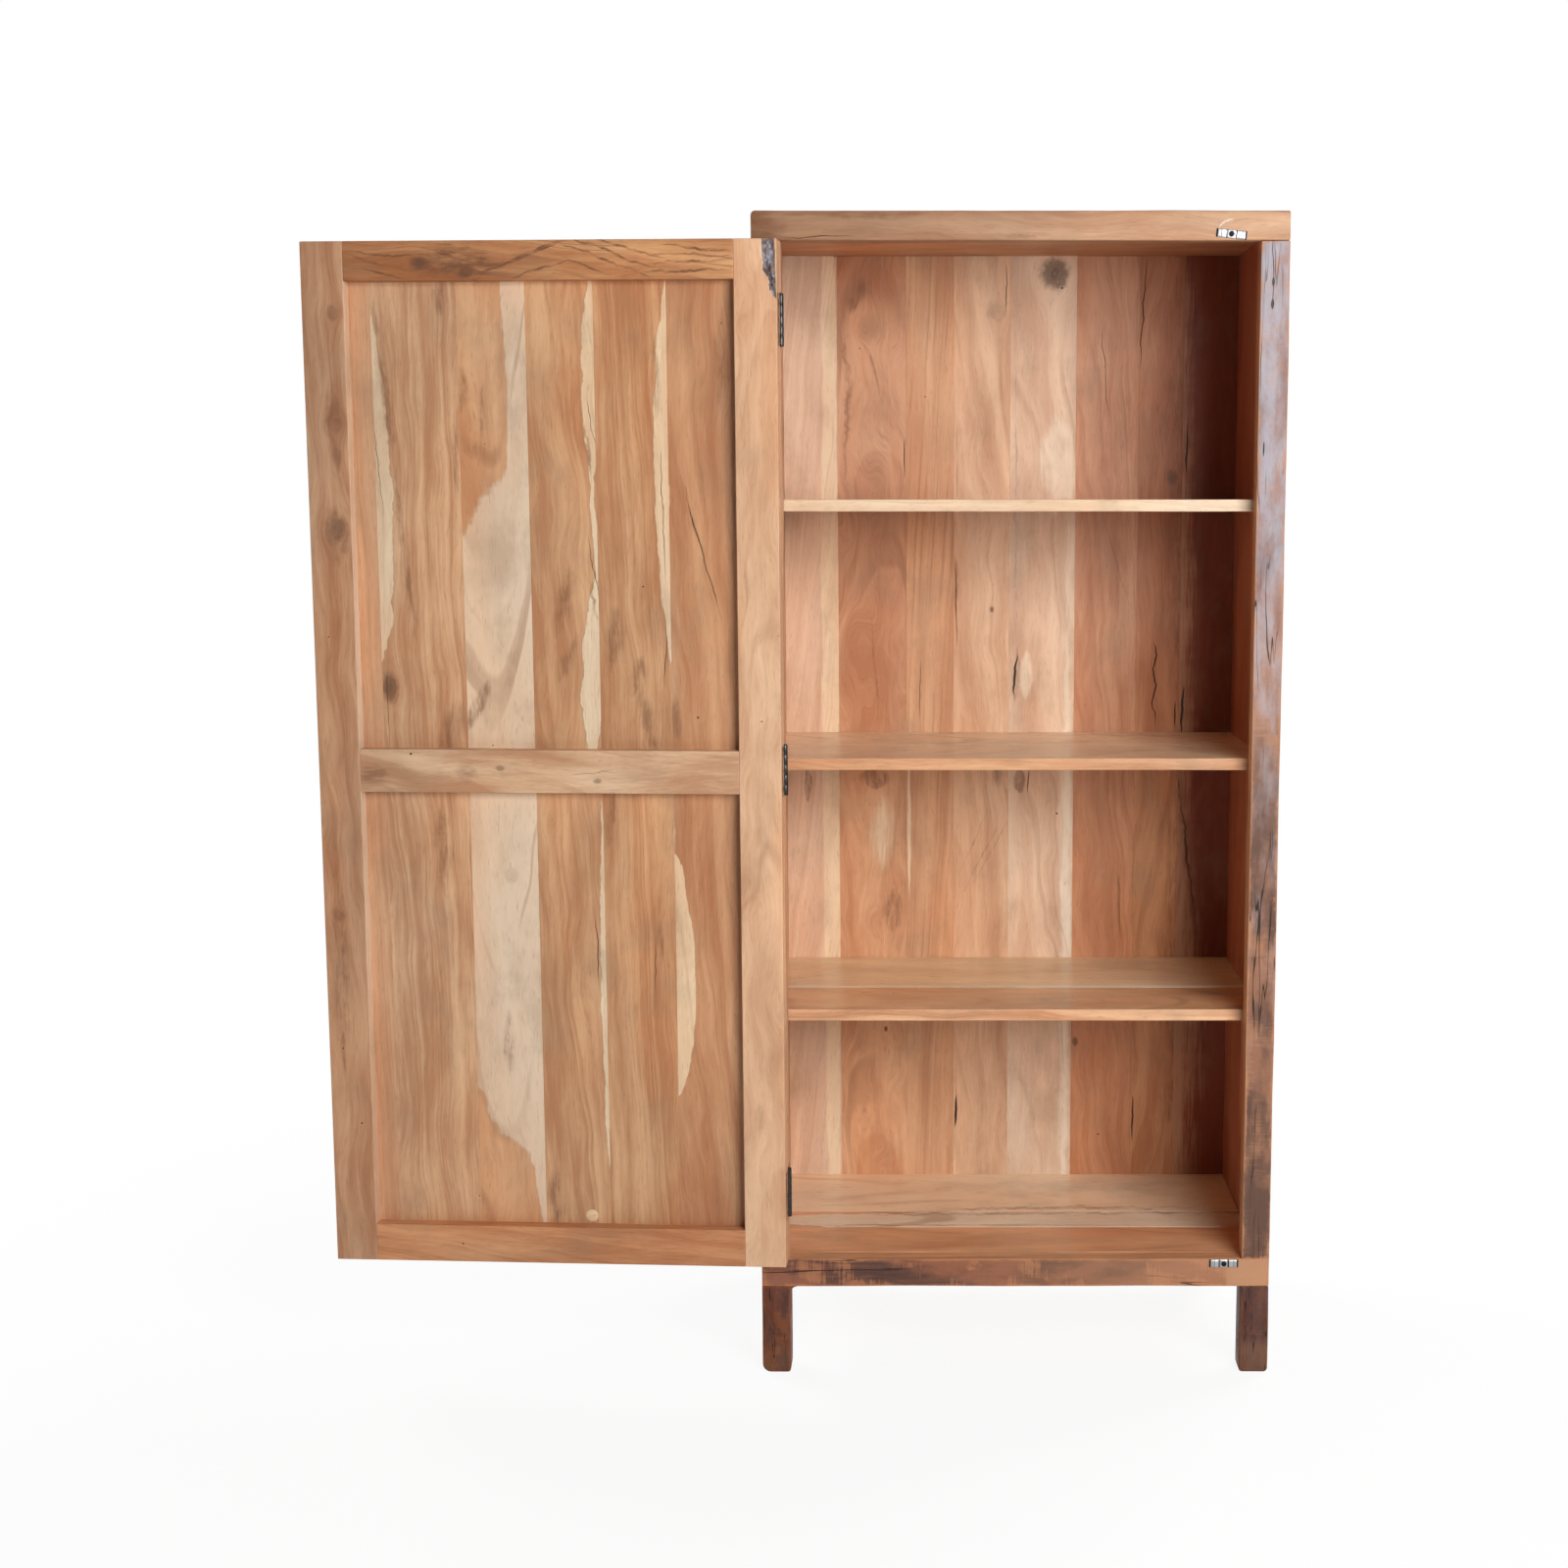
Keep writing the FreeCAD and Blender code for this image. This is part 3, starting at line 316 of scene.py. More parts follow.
            Streak(1.698, -0.415, 0.0026, 0.075, 0.38, 0.004, 0.002),
            Streak(1.705, -0.395, 0.0032, 0.075, 0.36, 0.004, 0.002),
            Streak(1.713, -0.375, 0.0028, 0.06, 0.34, 0.004, 0.002),
            Streak(1.687, -0.37, 0.003, 0.05, 0.3, 0.004, 0.002),
            Streak(1.69, -0.3, 0.0026, 0.04, -0.35, 0.003, 0.002),
            Streak(1.7, -0.275, 0.003, 0.075, -0.38, 0.004, 0.002),
            Streak(1.709, -0.262, 0.0032, 0.08, -0.34, 0.004, 0.002),
            Streak(1.717, -0.245, 0.0028, 0.08, -0.28, 0.004, 0.002),
            Streak(1.697, -0.15, 0.0028, 0.075, 0.06, 0.004, 0.002),
            Streak(1.707, -0.155, 0.0026, 0.07, -0.06, 0.004, 0.002),
            Streak(1.716, -0.14, 0.003, 0.06, -0.12, 0.004, 0.002),
            Streak(1.684, -0.16, 0.0026, 0.08, 0.04, 0.004, 0.002),
            Streak(1.708, -0.6, 0.0026, 0.06, -0.1, 0.004, 0.002),
            Streak(1.696, -0.6, 0.0028, 0.06, -0.2, 0.004, 0.002),
            Streak(1.684, -0.61, 0.0026, 0.05, -0.18, 0.004, 0.002)),
        knots=(Knot(1.697, -0.55, 0.008, 0.45), Knot(1.683, -0.48, 0.008, 0.4)),
    ),
    "door_mid_rail": Look(
        tint=(1.1, 1.31, 1.5), wander=0.016, heart=0.9, depth=0.03, taper=0.015, figure=1.15, lines=0.3,
        specks=0.45,
        stains=(Streak(0.95, -0.5, 0.018, 0.022, 0.0, 0.004, 0.016),
            Streak(0.949, -0.305, 0.002, 0.05, 0.08, 0.004, 0.002),
            Streak(0.945, -0.64, 0.022, 0.026, 0.0, 0.004, 0.02)),
        knots=(Knot(0.956, -0.448, 0.005, 0.5), Knot(0.938, -0.301, 0.005, 0.5)),
    ),
    "door_bottom_rail": Look(tint=(0.96, 0.86, 0.77), specks=0.4, heart=0.1, depth=0.05, figure=1.15),
    "front_top_rail": Look(
        tint=(0.56, 0.52, 0.51), end_tint=(0.8, 0.82, 0.86), fade=(-0.02, 0.55), wander=0.018, heart=1.68,
        depth=0.03, figure=1.2, specks=0.5,
        stains=(Streak(1.752, -0.055, 0.04, 0.05, 0.0, 0.006, 0.024),
            Streak(1.768, 0.08, 0.008, 0.12, 0.0, 0.005, 0.006),
            Streak(1.738, 0.33, 0.006, 0.05, 0.0, 0.004, 0.006)),
        cracks=(Streak(1.736, 0.03, 0.0008, 0.06, 0.03, 0.002, 0.001),),
        scratches=(Scratch(1.74, 0.637, 0.0206, math.radians(118)),),
    ),
    "upper_shelf_front_board": Look(tint=(1.12, 1.42, 1.7), wander=0.008, figure=0.6),
    "upper_shelf_front_edge": Look(tint=(1.12, 1.48, 1.85), wander=0.008, figure=0.6),
    # The middle and lower shelves' boards and the floor's boards are tinted well above their wood's tone:
    # painted light on their tops, which the lamps light less than the walls. The front edge entries keep
    # their own tone.
    "middle_shelf_front_board": Look(
        tint=(1.24, 1.64, 2.0), wander=0.012, heart=-0.02, depth=0.1, pitch=0.01, figure=0.45,
        roughness=0.3,
    ),
    "middle_shelf_front_edge": Look(tint=(0.97, 0.96, 0.96), wander=0.012, heart=-0.02, pitch=0.01),
    "middle_shelf_rear_board": Look(
        tint=(1.24, 1.72, 2.18), wander=0.012, heart=0.1, depth=0.1, pitch=0.01, figure=0.4, roughness=0.29,
    ),
    "lower_shelf_front_board": Look(
        tint=(1.15, 1.22, 1.22), wander=0.016, heart=-0.1, depth=0.08, pitch=0.01, lines=0.6, roughness=0.3,
    ),
    "lower_shelf_front_edge": Look(tint=(1.1, 1.19, 1.27), wander=0.012, heart=-0.02, pitch=0.01),
    "lower_shelf_rear_board": Look(
        tint=(1.16, 1.54, 1.74), wander=0.014, heart=0.12, depth=0.08, figure=0.6, roughness=0.3,
        sap_tint=(1.0, 1.14, 1.3),
        sap=(Streak(-0.005, 0.33, 0.014, 1.6, 0.0, 0.001, 0.002),),
    ),
    "floor_front_board": Look(
        tint=(1.22, 1.14, 1.08), wander=0.012, heart=-0.1, depth=0.06, pitch=0.01, roughness=0.32,
    ),
    "floor_middle_board": Look(
        tint=(1.14, 1.08, 1.04), wander=0.024, heart=-0.02, depth=0.05, pitch=0.012, lines=0.4,
        sap_tint=(1.0, 1.12, 1.28), roughness=0.32, sap_edge=1.6,
        sap=(Streak(-0.018, 0.52, 0.046, 0.76, 0.0, 0.008, 0.004),),
        stains=(Streak(0.014, 0.3, 0.008, 0.26, 0.02, 0.01, 0.006),
            Streak(0.02, 0.54, 0.01, 0.15, 0.0, 0.01, 0.006), Streak(-0.04, 0.25, 0.004, 0.3, 0.0, 0.004)),
    ),
    "floor_rear_board": Look(
        tint=(1.24, 1.64, 2.02), wander=0.014, heart=0.14, depth=0.08, roughness=0.3, figure=0.3,
        stains=(Streak(0.044, 0.42, 0.012, 0.26, 0.02, 0.012, 0.01),),
    ),
    # The right side's boards are tinted darker than their wood: painted shade on their inner faces, which
    # turn away from the lamp.
    "right_side_front_board": Look(tint=(0.72, 0.48, 0.48), wander=0.014),
    "right_side_rear_board": Look(tint=(0.65, 0.42, 0.4), wander=0.014),
    # The free stile's edge is paler than the stile: partly painted light on this face, which turns towards
    # the lamp.
    "door_free_stile_edge": Look(tint=(1.02, 1.3, 1.66), figure=0.5),
}


def tone(name, about, default):
    """Setting for a colour."""
    return FloatVectorProperty(
        name=name, description=about, default=default, size=3, subtype="COLOR", min=0, max=1,
    )


def length(name, about, default, least, most):
    """Setting for a length in metres."""
    return FloatProperty(
        name=name, description=about, default=default, unit="LENGTH", subtype="DISTANCE", min=least,
        max=most,
    )


def spot(name, about, default):
    """Setting for a place in metres."""
    return FloatVectorProperty(
        name=name, description=about, default=default, size=3, subtype="XYZ", unit="LENGTH",
    )


class CupboardWood(bpy.types.PropertyGroup):
    """Colours and worn edges of the boards."""

    planed_light: tone(
        "Planed wood, light", "Pale early growth of the planed heartwood", (0.74, 0.445, 0.255),
    )
    planed_dark: tone("Planed wood, dark", "Dark late growth of the planed heartwood", (0.455, 0.205, 0.1))
    sapwood_light: tone("Sapwood, light", "Pale part of the sapwood", (0.86, 0.7, 0.49))
    sapwood_dark: tone("Sapwood, dark", "Grain lines of the sapwood", (0.71, 0.51, 0.335))
    late_growth: tone("Growth lines", "Thin dark lines between the years' growth", (0.265, 0.105, 0.05))
    stain: tone("Stain", "Brown stains and dark heart streaks", (0.2, 0.085, 0.042))
    dirt: tone("Dirt", "Dull film that years of use leave on the planed wood", (0.29, 0.185, 0.11))
    knot: tone("Knot", "Middle of a dark knot", (0.085, 0.042, 0.026))
    crack: tone("Crack", "Inside of a crack or a worm hole", (0.022, 0.011, 0.007))
    scratch: tone("Scratch", "Pale line where a turn button has rubbed the rail", (0.74, 0.62, 0.54))
    patina: tone("Patina", "Old brown skin of the faces that were never planed", (0.33, 0.145, 0.085))
    grime: tone("Grime", "Dark dirt in the old skin", (0.065, 0.034, 0.028))
    # On the front stiles this grey film is partly a painted sheen, a reflection put into the colour.
    haze: tone("Haze", "Grey film on the old skin", (0.345, 0.318, 0.352))
    worn: tone("Worn wood", "Wood that shows where the old skin has rubbed off", (0.5, 0.26, 0.14))
    arris: length("Planed arris", "Width of the eased edge of a planed board", 0.0011, 0.0003, 0.005)
    joint_arris: length(
        "Joint arris", "Width of the eased edge of a tightly fitted board", 0.0004, 0.0001, 0.003,
    )
    old_arris: length("Old arris", "Width of the eased edge of an old board", 0.001, 0.0003, 0.008)
    rubbed_arris: length(
        "Rubbed arris", "Width of the rubbed edge of a leg and of the top rail", 0.0028, 0.0003, 0.008,
    )
    unevenness: length("Planed unevenness", "How far a planed face swells and dips", 0.0008, 0, 0.004)
    old_unevenness: length("Old unevenness", "How far an old face swells and dips", 0.0024, 0, 0.006)


class CupboardSteel(bpy.types.PropertyGroup):
    """Colours of the steel pieces."""

    hinge: tone("Hinge steel", "Dark steel of the butt hinges", (0.045, 0.045, 0.047))
    bare: tone("Bare steel", "Steel rubbed bright", (0.5, 0.49, 0.47))
    zinc: tone("Zinc plate", "Bright plate of the turn buttons", (0.4, 0.4, 0.41))
    # On the turn buttons this dark steel is partly painted shade in their grooves, at their tips and on their
    # steep sides.
    screw: tone(
        "Screw steel", "Dark steel of the screws and of the buttons' steep sides", (0.02, 0.02, 0.022),
    )
    button_length: length("Button length", "Length of a turn button", 0.045, 0.02, 0.08)
    button_height: length("Button height", "Height of a turn button", 0.0122, 0.005, 0.03)
    button_tilt: FloatProperty(
        name="Top button tilt", description="How far the top turn button hangs down at its right end",
        default=math.radians(6), unit="ROTATION", subtype="ANGLE",
    )
    screw_radius: length(
        "Button screw radius", "Radius of the heads of the turn buttons' screws", 0.0042, 0.001, 0.006,
    )


class CupboardStage(bpy.types.PropertyGroup):
    """The camera, the lamps and the floor."""

    camera_place: spot("Camera", "Where the camera stands", (0.2059, -3.2868, 1.3415))
    camera_pitch: FloatProperty(
        name="Camera pitch", description="How far the camera looks down",
        default=math.radians(7.305), unit="ROTATION", subtype="ANGLE",
    )
    camera_lens: FloatProperty(
        name="Lens", description="Focal length of the lens in millimetres", default=47.43, min=10, max=200,
    )
    camera_shift: FloatVectorProperty(
        name="Shift", description="Shift of the frame as a share of its width",
        default=(-0.0972, -0.0064), size=2,
    )
    key_place: spot("Key lamp", "Middle of the large soft lamp", (1.5, -2.8, 1.85))
    key_aim: spot("Key aim", "Point that the large soft lamp faces", (-0.05, 0.0, 0.75))
    key_size: FloatVectorProperty(
        name="Key size", description="Width and height of the large soft lamp", default=(1.60, 1.60),
        size=2, unit="LENGTH", min=0.1, max=5,
    )
    key_power: FloatProperty(
        name="Key power", description="Power of the large soft lamp in watts", default=99, min=0, max=1000,
    )
    fill_place: spot(
        "Fill lamps", "Middle of the right one of the two soft lamps behind the cupboard", (2.7, 2.1, 2.9),
    )
    fill_power: FloatProperty(
        name="Fill power", description="Power of each soft lamp behind the cupboard in watts",
        default=110, min=0, max=1000,
    )
    ambient: FloatProperty(
        name="Ambient", description="Strength of the even light all round", default=0.022, min=0, max=2,
    )
    floor_colour: tone("Floor", "Pale floor", (0.88, 0.88, 0.88))


# Name of the node that ends a node group
GROUP_END = "end"


class Value:
    """An output in a node tree; a sum written with it adds its nodes to the tree."""

    def __init__(self, steps, socket):
        self.steps = steps
        self.socket = socket

    def __add__(self, other):
        return self.steps.math("ADD", self, other)

    def __sub__(self, other):
        return self.steps.math("SUBTRACT", self, other)

    def __rsub__(self, other):
        return self.steps.math("SUBTRACT", other, self)

    def __mul__(self, other):
        return self.steps.math("MULTIPLY", self, other)

    def __truediv__(self, other):
        return self.steps.math("DIVIDE", self, other)

    __radd__ = __add__
    __rmul__ = __mul__


class Steps:
    """Adds nodes to one node tree and joins them, so that a finish reads as a list of steps."""

    def __init__(self, tree):
        self.tree = tree

    def add(self, kind, **settings):
        """Add a node and set it."""
        node = self.tree.nodes.new(kind)
        for key, value in settings.items():
            setattr(node, key, value)
        return node

    def join(self, value, socket):
        """Link a value to a socket, or set a plain number, vector or colour on it."""
        if isinstance(value, Value):
            self.tree.links.new(value.socket, socket)
        else:
            socket.default_value = value

    def feed(self, node, inputs, output=0):
        """Join values to a node's inputs, named or counted, and return one of its outputs."""
        for key, value in inputs.items():
            self.join(value, node.inputs[key])
        return Value(self, node.outputs[output])

    def outputs(self, node):
        """A node's outputs by name."""
        return {socket.name: Value(self, socket) for socket in node.outputs}

    def put_out(self, **outputs):
        """Join values to the outputs of a node group."""
        for key, value in outputs.items():
            self.join(value, self.tree.nodes[GROUP_END].inputs[key])

    def math(self, operation, *values):
        return self.feed(self.add("ShaderNodeMath", operation=operation), dict(enumerate(values)))

    def vector(self, operation, *values):
        return self.feed(self.add("ShaderNodeVectorMath", operation=operation), dict(enumerate(values)))

    def shifted(self, place, seed, way):
        """A place moved along a way by a seed, so that each board has noise of its own."""
        node = self.add("ShaderNodeVectorMath", operation="SCALE")
        return self.vector("ADD", place, self.feed(node, {0: way, "Scale": seed}))

    def object_place(self):
        """Where a point lies in its object's own coordinates."""
        return self.outputs(self.add("ShaderNodeTexCoord"))["Object"]

    def split(self, vector):
        node = self.add("ShaderNodeSeparateXYZ")
        self.join(vector, node.inputs[0])
        return list(self.outputs(node).values())

    def combine(self, *values):
        return self.feed(self.add("ShaderNodeCombineXYZ"), dict(enumerate(values)))

    def noise(self, place, stretch, detail=2.0, roughness=0.5):
        """Soft noise from 0 to 1, with its own number of waves to the metre each way."""
        node = self.add("ShaderNodeTexNoise", noise_dimensions="3D")
        place = self.vector("MULTIPLY", place, stretch)
        return self.feed(node, {"Vector": place, "Scale": 1.0, "Detail": detail, "Roughness": roughness})

    def line_noise(self, value, detail=2.0, roughness=0.5):
        """Soft noise from 0 to 1 along one value."""
        node = self.add("ShaderNodeTexNoise", noise_dimensions="1D")
        return self.feed(node, {"W": value, "Scale": 1.0, "Detail": detail, "Roughness": roughness})

    def ramp(self, value, start, end):
        """Smooth rise from 0 at start to 1 at end; start may be the larger one."""
        node = self.add("ShaderNodeMapRange", interpolation_type="SMOOTHSTEP")
        return self.feed(node, {"Value": value, "From Min": start, "From Max": end})

    def mix(self, factor, first, second, blend="MIX"):
        """Blend two colours."""
        node = self.add("ShaderNodeMix", data_type="RGBA", blend_type=blend)
        return self.feed(node, {0: factor, 6: first, 7: second}, 2)

    def group(self, name, **inputs):
        """Place a node group; each input is named in small letters, with _ for a space."""
        node = self.add("ShaderNodeGroup")
        node.node_tree = bpy.data.node_groups[name]
        for key, value in inputs.items():
            self.join(value, node.inputs[key.replace("_", " ").title()])
        return self.outputs(node)


def colour(value, tint=(1.0, 1.0, 1.0)):
    """A colour with its tint, as four numbers."""
    return (value[0] * tint[0], value[1] * tint[1], value[2] * tint[2], 1.0)


def new_group(name, vectors, values, outputs):
    """Start a shader node group and return its steps and its inputs by name."""
    tree = bpy.data.node_groups.new(name, "ShaderNodeTree")
    for label in vectors:
        tree.interface.new_socket(label, in_out="INPUT", socket_type="NodeSocketVector")
    for label in values:
        tree.interface.new_socket(label, in_out="INPUT", socket_type="NodeSocketFloat")
    for label in outputs:
        kind = "NodeSocketVector" if label == "Vector" else "NodeSocketFloat"
        tree.interface.new_socket(label, in_out="OUTPUT", socket_type=kind)
    steps = Steps(tree)
    steps.add("NodeGroupOutput", name=GROUP_END)
    return steps, steps.outputs(steps.add("NodeGroupInput"))


def make_grain_group():
    """Grain of a board: rings round the tree's heart, bent sideways, with streaks, fibres and patches."""
    steps, given = new_group(
        "Board Grain", ["Vector"], ["Seed", "Wander", "Heart", "Depth", "Pitch", "Taper"],
        ["Bands", "Growth", "Lines", "Streaks", "Fibre", "Pores", "Patches"],
    )
    across, through, along = steps.split(given["Vector"])
    way = (0.731, 1.370, 2.110)
    place = steps.shifted(given["Vector"], given["Seed"], way)
    slow = steps.noise(place, (6.0, 6.0, 2.0), 1.0) - 0.5
    quick = steps.noise(place, (20.0, 20.0, 7.5), 1.0) - 0.5
    bent = (quick * 0.55 + slow) * (given["Wander"] * 3.2) + across
    fine = steps.combine(bent, through, along)
    from_heart = bent - given["Heart"]
    behind = through + given["Depth"]
    radius = steps.math("SQRT", from_heart * from_heart + behind * behind)
    ring = (along * given["Taper"] + radius) / given["Pitch"] + given["Seed"]
    count = steps.line_noise(ring * 0.6) * 2.4 + ring * 2.2
    share = steps.math("FRACT", count)
    year = steps.ramp(steps.line_noise(steps.math("FLOOR", count) * 0.37, 1.0), 0.36, 0.66)
    thin = steps.ramp(steps.line_noise(ring * 3.7, 1.0), 0.56, 0.74)
    where = steps.ramp(steps.noise(fine, (9.0, 9.0, 5.0), 1.0), 0.40, 0.62)
    steps.put_out(
        Bands=steps.line_noise(ring, 3.5, 0.55),
        Growth=steps.ramp(share, 0.15, 0.90) * steps.ramp(share, 1.0, 0.93) * year,
        Lines=thin * where,
        Streaks=steps.noise(fine, (80.0, 80.0, 4.5), 4.0, 0.6),
        Fibre=steps.noise(fine, (330.0, 330.0, 22.0), 3.0, 0.65),
        Pores=steps.ramp(steps.noise(fine, (760.0, 760.0, 55.0), 1.0), 0.60, 0.74),
        Patches=steps.noise(steps.shifted(fine, given["Seed"], way), (15.0, 15.0, 4.0), 3.0),
    )


def make_streak_group():
    """Mask of a long patch along the grain, with ragged sides that narrow to both ends."""
    steps, given = new_group(
        "Long Streak", ["Vector"],
        ["Across", "Along", "Half Width", "Half Length", "Lean", "Wobble", "Soft"], ["Mask"],
    )
    across, along = steps.split(given["Vector"])[::2]
    run = along - given["Along"]
    share = run / given["Half Length"]
    left_over = steps.math("MAXIMUM", 1.0 - share * share, 0.0)
    reach = steps.math("POWER", left_over, 0.75) * given["Half Width"]
    wave = steps.line_noise(given["Across"] * 331.0 + along * 18.0, 3.0, 0.6) - 0.5
    middle = given["Lean"] * run + given["Across"]
    aside = wave * (given["Wobble"] * 3.0) + (across - middle)
    ragged = steps.noise(given["Vector"], (34.0, 34.0, 9.0), 3.0, 0.55) - 0.5
    most = steps.math("MINIMUM", given["Half Width"] * 0.7, 0.05)
    frayed = steps.noise(given["Vector"], (300.0, 300.0, 16.0), 2.0, 0.6) - 0.5
    inside = reach - steps.math("ABSOLUTE", aside) + ragged * most + frayed * (given["Soft"] * 1.2)
    steps.put_out(Mask=steps.ramp(inside, 0.0, given["Soft"]))


def make_knot_group():
    """A knot: grain that bends round it, the mask of the knot, and its own rings."""
    steps, given = new_group(
        "Knot", ["Vector"], ["Across", "Along", "Radius", "Roundness"], ["Vector", "Mask", "Rings"],
    )
    across, through, along = steps.split(given["Vector"])
    aside = across - given["Across"]
    run = (along - given["Along"]) * given["Roundness"]
    square = aside * aside + run * run
    radius_square = given["Radius"] * given["Radius"]
    pull = radius_square / (radius_square * 0.6 + square)
    rough = steps.noise(given["Vector"], (95.0, 95.0, 60.0), 3.0, 0.6) - 0.5
    away = rough * 0.75 + steps.math("SQRT", square) / given["Radius"]
    steps.put_out(
        Vector=steps.combine(across - aside * pull, through, along),
        Mask=steps.ramp(away, 1.10, 0.45),
        Rings=steps.line_noise(away * 7.0),
    )


def make_scratch_group():
    """Mask of a scratch on an arc about a point, broken and fading to both ends."""
    steps, given = new_group("Arc Scratch", ["Vector"], ["Across", "Along", "Radius", "Way"], ["Mask"])
    across, along = steps.split(given["Vector"])[::2]
    aside = across - given["Across"]
    run = along - given["Along"]
    rough = steps.noise(given["Vector"], (240.0, 240.0, 240.0)) - 0.5
    off = rough * 0.003 + (steps.math("SQRT", aside * aside + run * run) - given["Radius"])
    towards = run * steps.math("COSINE", given["Way"]) + aside * steps.math("SINE", given["Way"])
    reach = steps.ramp(towards / given["Radius"], 0.80, 0.90)
    steps.put_out(Mask=steps.ramp(steps.math("ABSOLUTE", off), 0.0018, 0.0006) * reach)


def make_worm_hole_group():
    """Mask of scattered pin holes left by wood worm."""
    steps, given = new_group("Worm Holes", ["Vector"], ["Seed", "Share"], ["Mask"])
    cells = steps.add("ShaderNodeTexVoronoi", voronoi_dimensions="3D", feature="F1")
    place = steps.shifted(given["Vector"], given["Seed"], (0.31, 0.57, 0.83))
    away = steps.feed(cells, {"Vector": place, "Scale": 26.0}, "Distance")
    chance, spread = steps.split(steps.outputs(cells)["Color"])[:2]
    size = spread * 0.035 + 0.022
    chosen = steps.math("LESS_THAN", chance, given["Share"])
    steps.put_out(Mask=steps.ramp(away, size, size * 0.5) * chosen)


def make_edge_group():
    """Distance from a point on a board's surface to the nearest edge of the board."""
    steps, given = new_group("Edge Distance", ["Vector", "Middle", "Half Size"], [], ["Distance"])
    off = steps.vector("ABSOLUTE", steps.vector("SUBTRACT", given["Vector"], given["Middle"]))
    first, second, third = steps.split(steps.vector("SUBTRACT", given["Half Size"], off))
    least = steps.math("MINIMUM", first, second)
    most = steps.math("MAXIMUM", first, second)
    steps.put_out(Distance=steps.math("MAXIMUM", least, steps.math("MINIMUM", most, third)))


def make_patina_group():
    """Masks of an old face: grime, grey haze, rubbed places, scuffs, saw marks, cracks and lines."""
    steps, given = new_group(
        "Old Patina", ["Vector"], ["Seed", "Edge", "Reach"],
        ["Grime", "Haze", "Rubbed", "Scuffs", "Saw", "Cracks", "Lines"],
    )
    place = steps.shifted(given["Vector"], given["Seed"], (1.91, 0.67, 1.23))
    ragged = steps.noise(place, (75.0, 75.0, 30.0), 4.0, 0.65) - 0.5
    along_edges = steps.ramp(ragged * 3.2 * given["Reach"] + given["Edge"], given["Reach"], 0.0)
    patches = steps.ramp(steps.noise(place, (38.0, 38.0, 16.0), 5.0, 0.7), 0.61, 0.70)
    saw = steps.noise(place, (14.0, 14.0, 260.0), 3.0, 0.6)
    thick = steps.noise(place, (20.0, 20.0, 14.0), 3.0, 0.6)
    ridge = steps.math("ABSOLUTE", steps.noise(place, (62.0, 62.0, 2.6)) - 0.5)
    where = steps.ramp(steps.noise(place, (21.0, 21.0, 5.0), 1.0), 0.52, 0.62)
    steps.put_out(
        Grime=steps.ramp(steps.noise(place, (17.0, 17.0, 7.0), 4.0, 0.6), 0.45, 0.66),
        Haze=steps.ramp(steps.noise(place, (26.0, 26.0, 9.0), 5.0, 0.65), 0.36, 0.62),
        Rubbed=steps.math("MAXIMUM", along_edges, patches * 0.8),
        Scuffs=steps.ramp(saw * 0.45 + thick, 0.74, 0.86),
        Saw=saw,
        Cracks=steps.ramp(ridge, 0.010, 0.003) * where,
        Lines=steps.noise(place, (230.0, 230.0, 9.0), 3.0, 0.6),
    )


def make_node_groups():
    """Make the effects that several finishes share."""
    make_grain_group()
    make_streak_group()
    make_knot_group()
    make_scratch_group()
    make_worm_hole_group()
    make_edge_group()
    make_patina_group()


def new_material(name):
    """Start a material and return it with its steps and its shader."""
    material = bpy.data.materials.new(name)
    material.use_nodes = True
    steps = Steps(material.node_tree)
    return material, steps, material.node_tree.nodes["Principled BSDF"]


# How far edges are rubbed, how deep finishes lie in metres, and what each mask adds to the grain's tone
RUBBED_REACH = 0.0045
RELIEF = 0.0008
STEEL_RELIEF = 0.00008
BLUSH = (1.05, 0.96, 0.89)
TONE_SHARES = {"Patches": 0.55, "Bands": 0.34, "Streaks": 0.26, "Fibre": 0.22, "Growth": 0.07}


def board_space(steps, axes, turn=None):
    """Object coordinates put in the order across, through, along; turn brings them to the shut door's."""
    place = steps.object_place()
    if turn is not None:
        mapping = steps.add("ShaderNodeMapping", vector_type="POINT")
        moved = {"Vector": place, "Location": turn.to_translation(), "Rotation": turn.to_euler()}
        place = steps.feed(mapping, moved)
    parts = dict(zip("XYZ", steps.split(place)))
    return steps.combine(*[parts[axis] for axis in axes])


def union(steps, place, streaks):
    """Mask of several streaks together."""
    mask = 0.0
    for streak in streaks:
        one = steps.group("Long Streak", vector=place, **streak._asdict())["Mask"]
        mask = steps.math("MAXIMUM", mask, one)
    return mask


def bump(steps, height, distance, shader):
    """Raise a finish by its height times a distance."""
    node = steps.add("ShaderNodeBump")
    normal = steps.feed(node, {"Height": height, "Strength": 1.0, "Distance": distance})
    steps.join(normal, shader.inputs["Normal"])


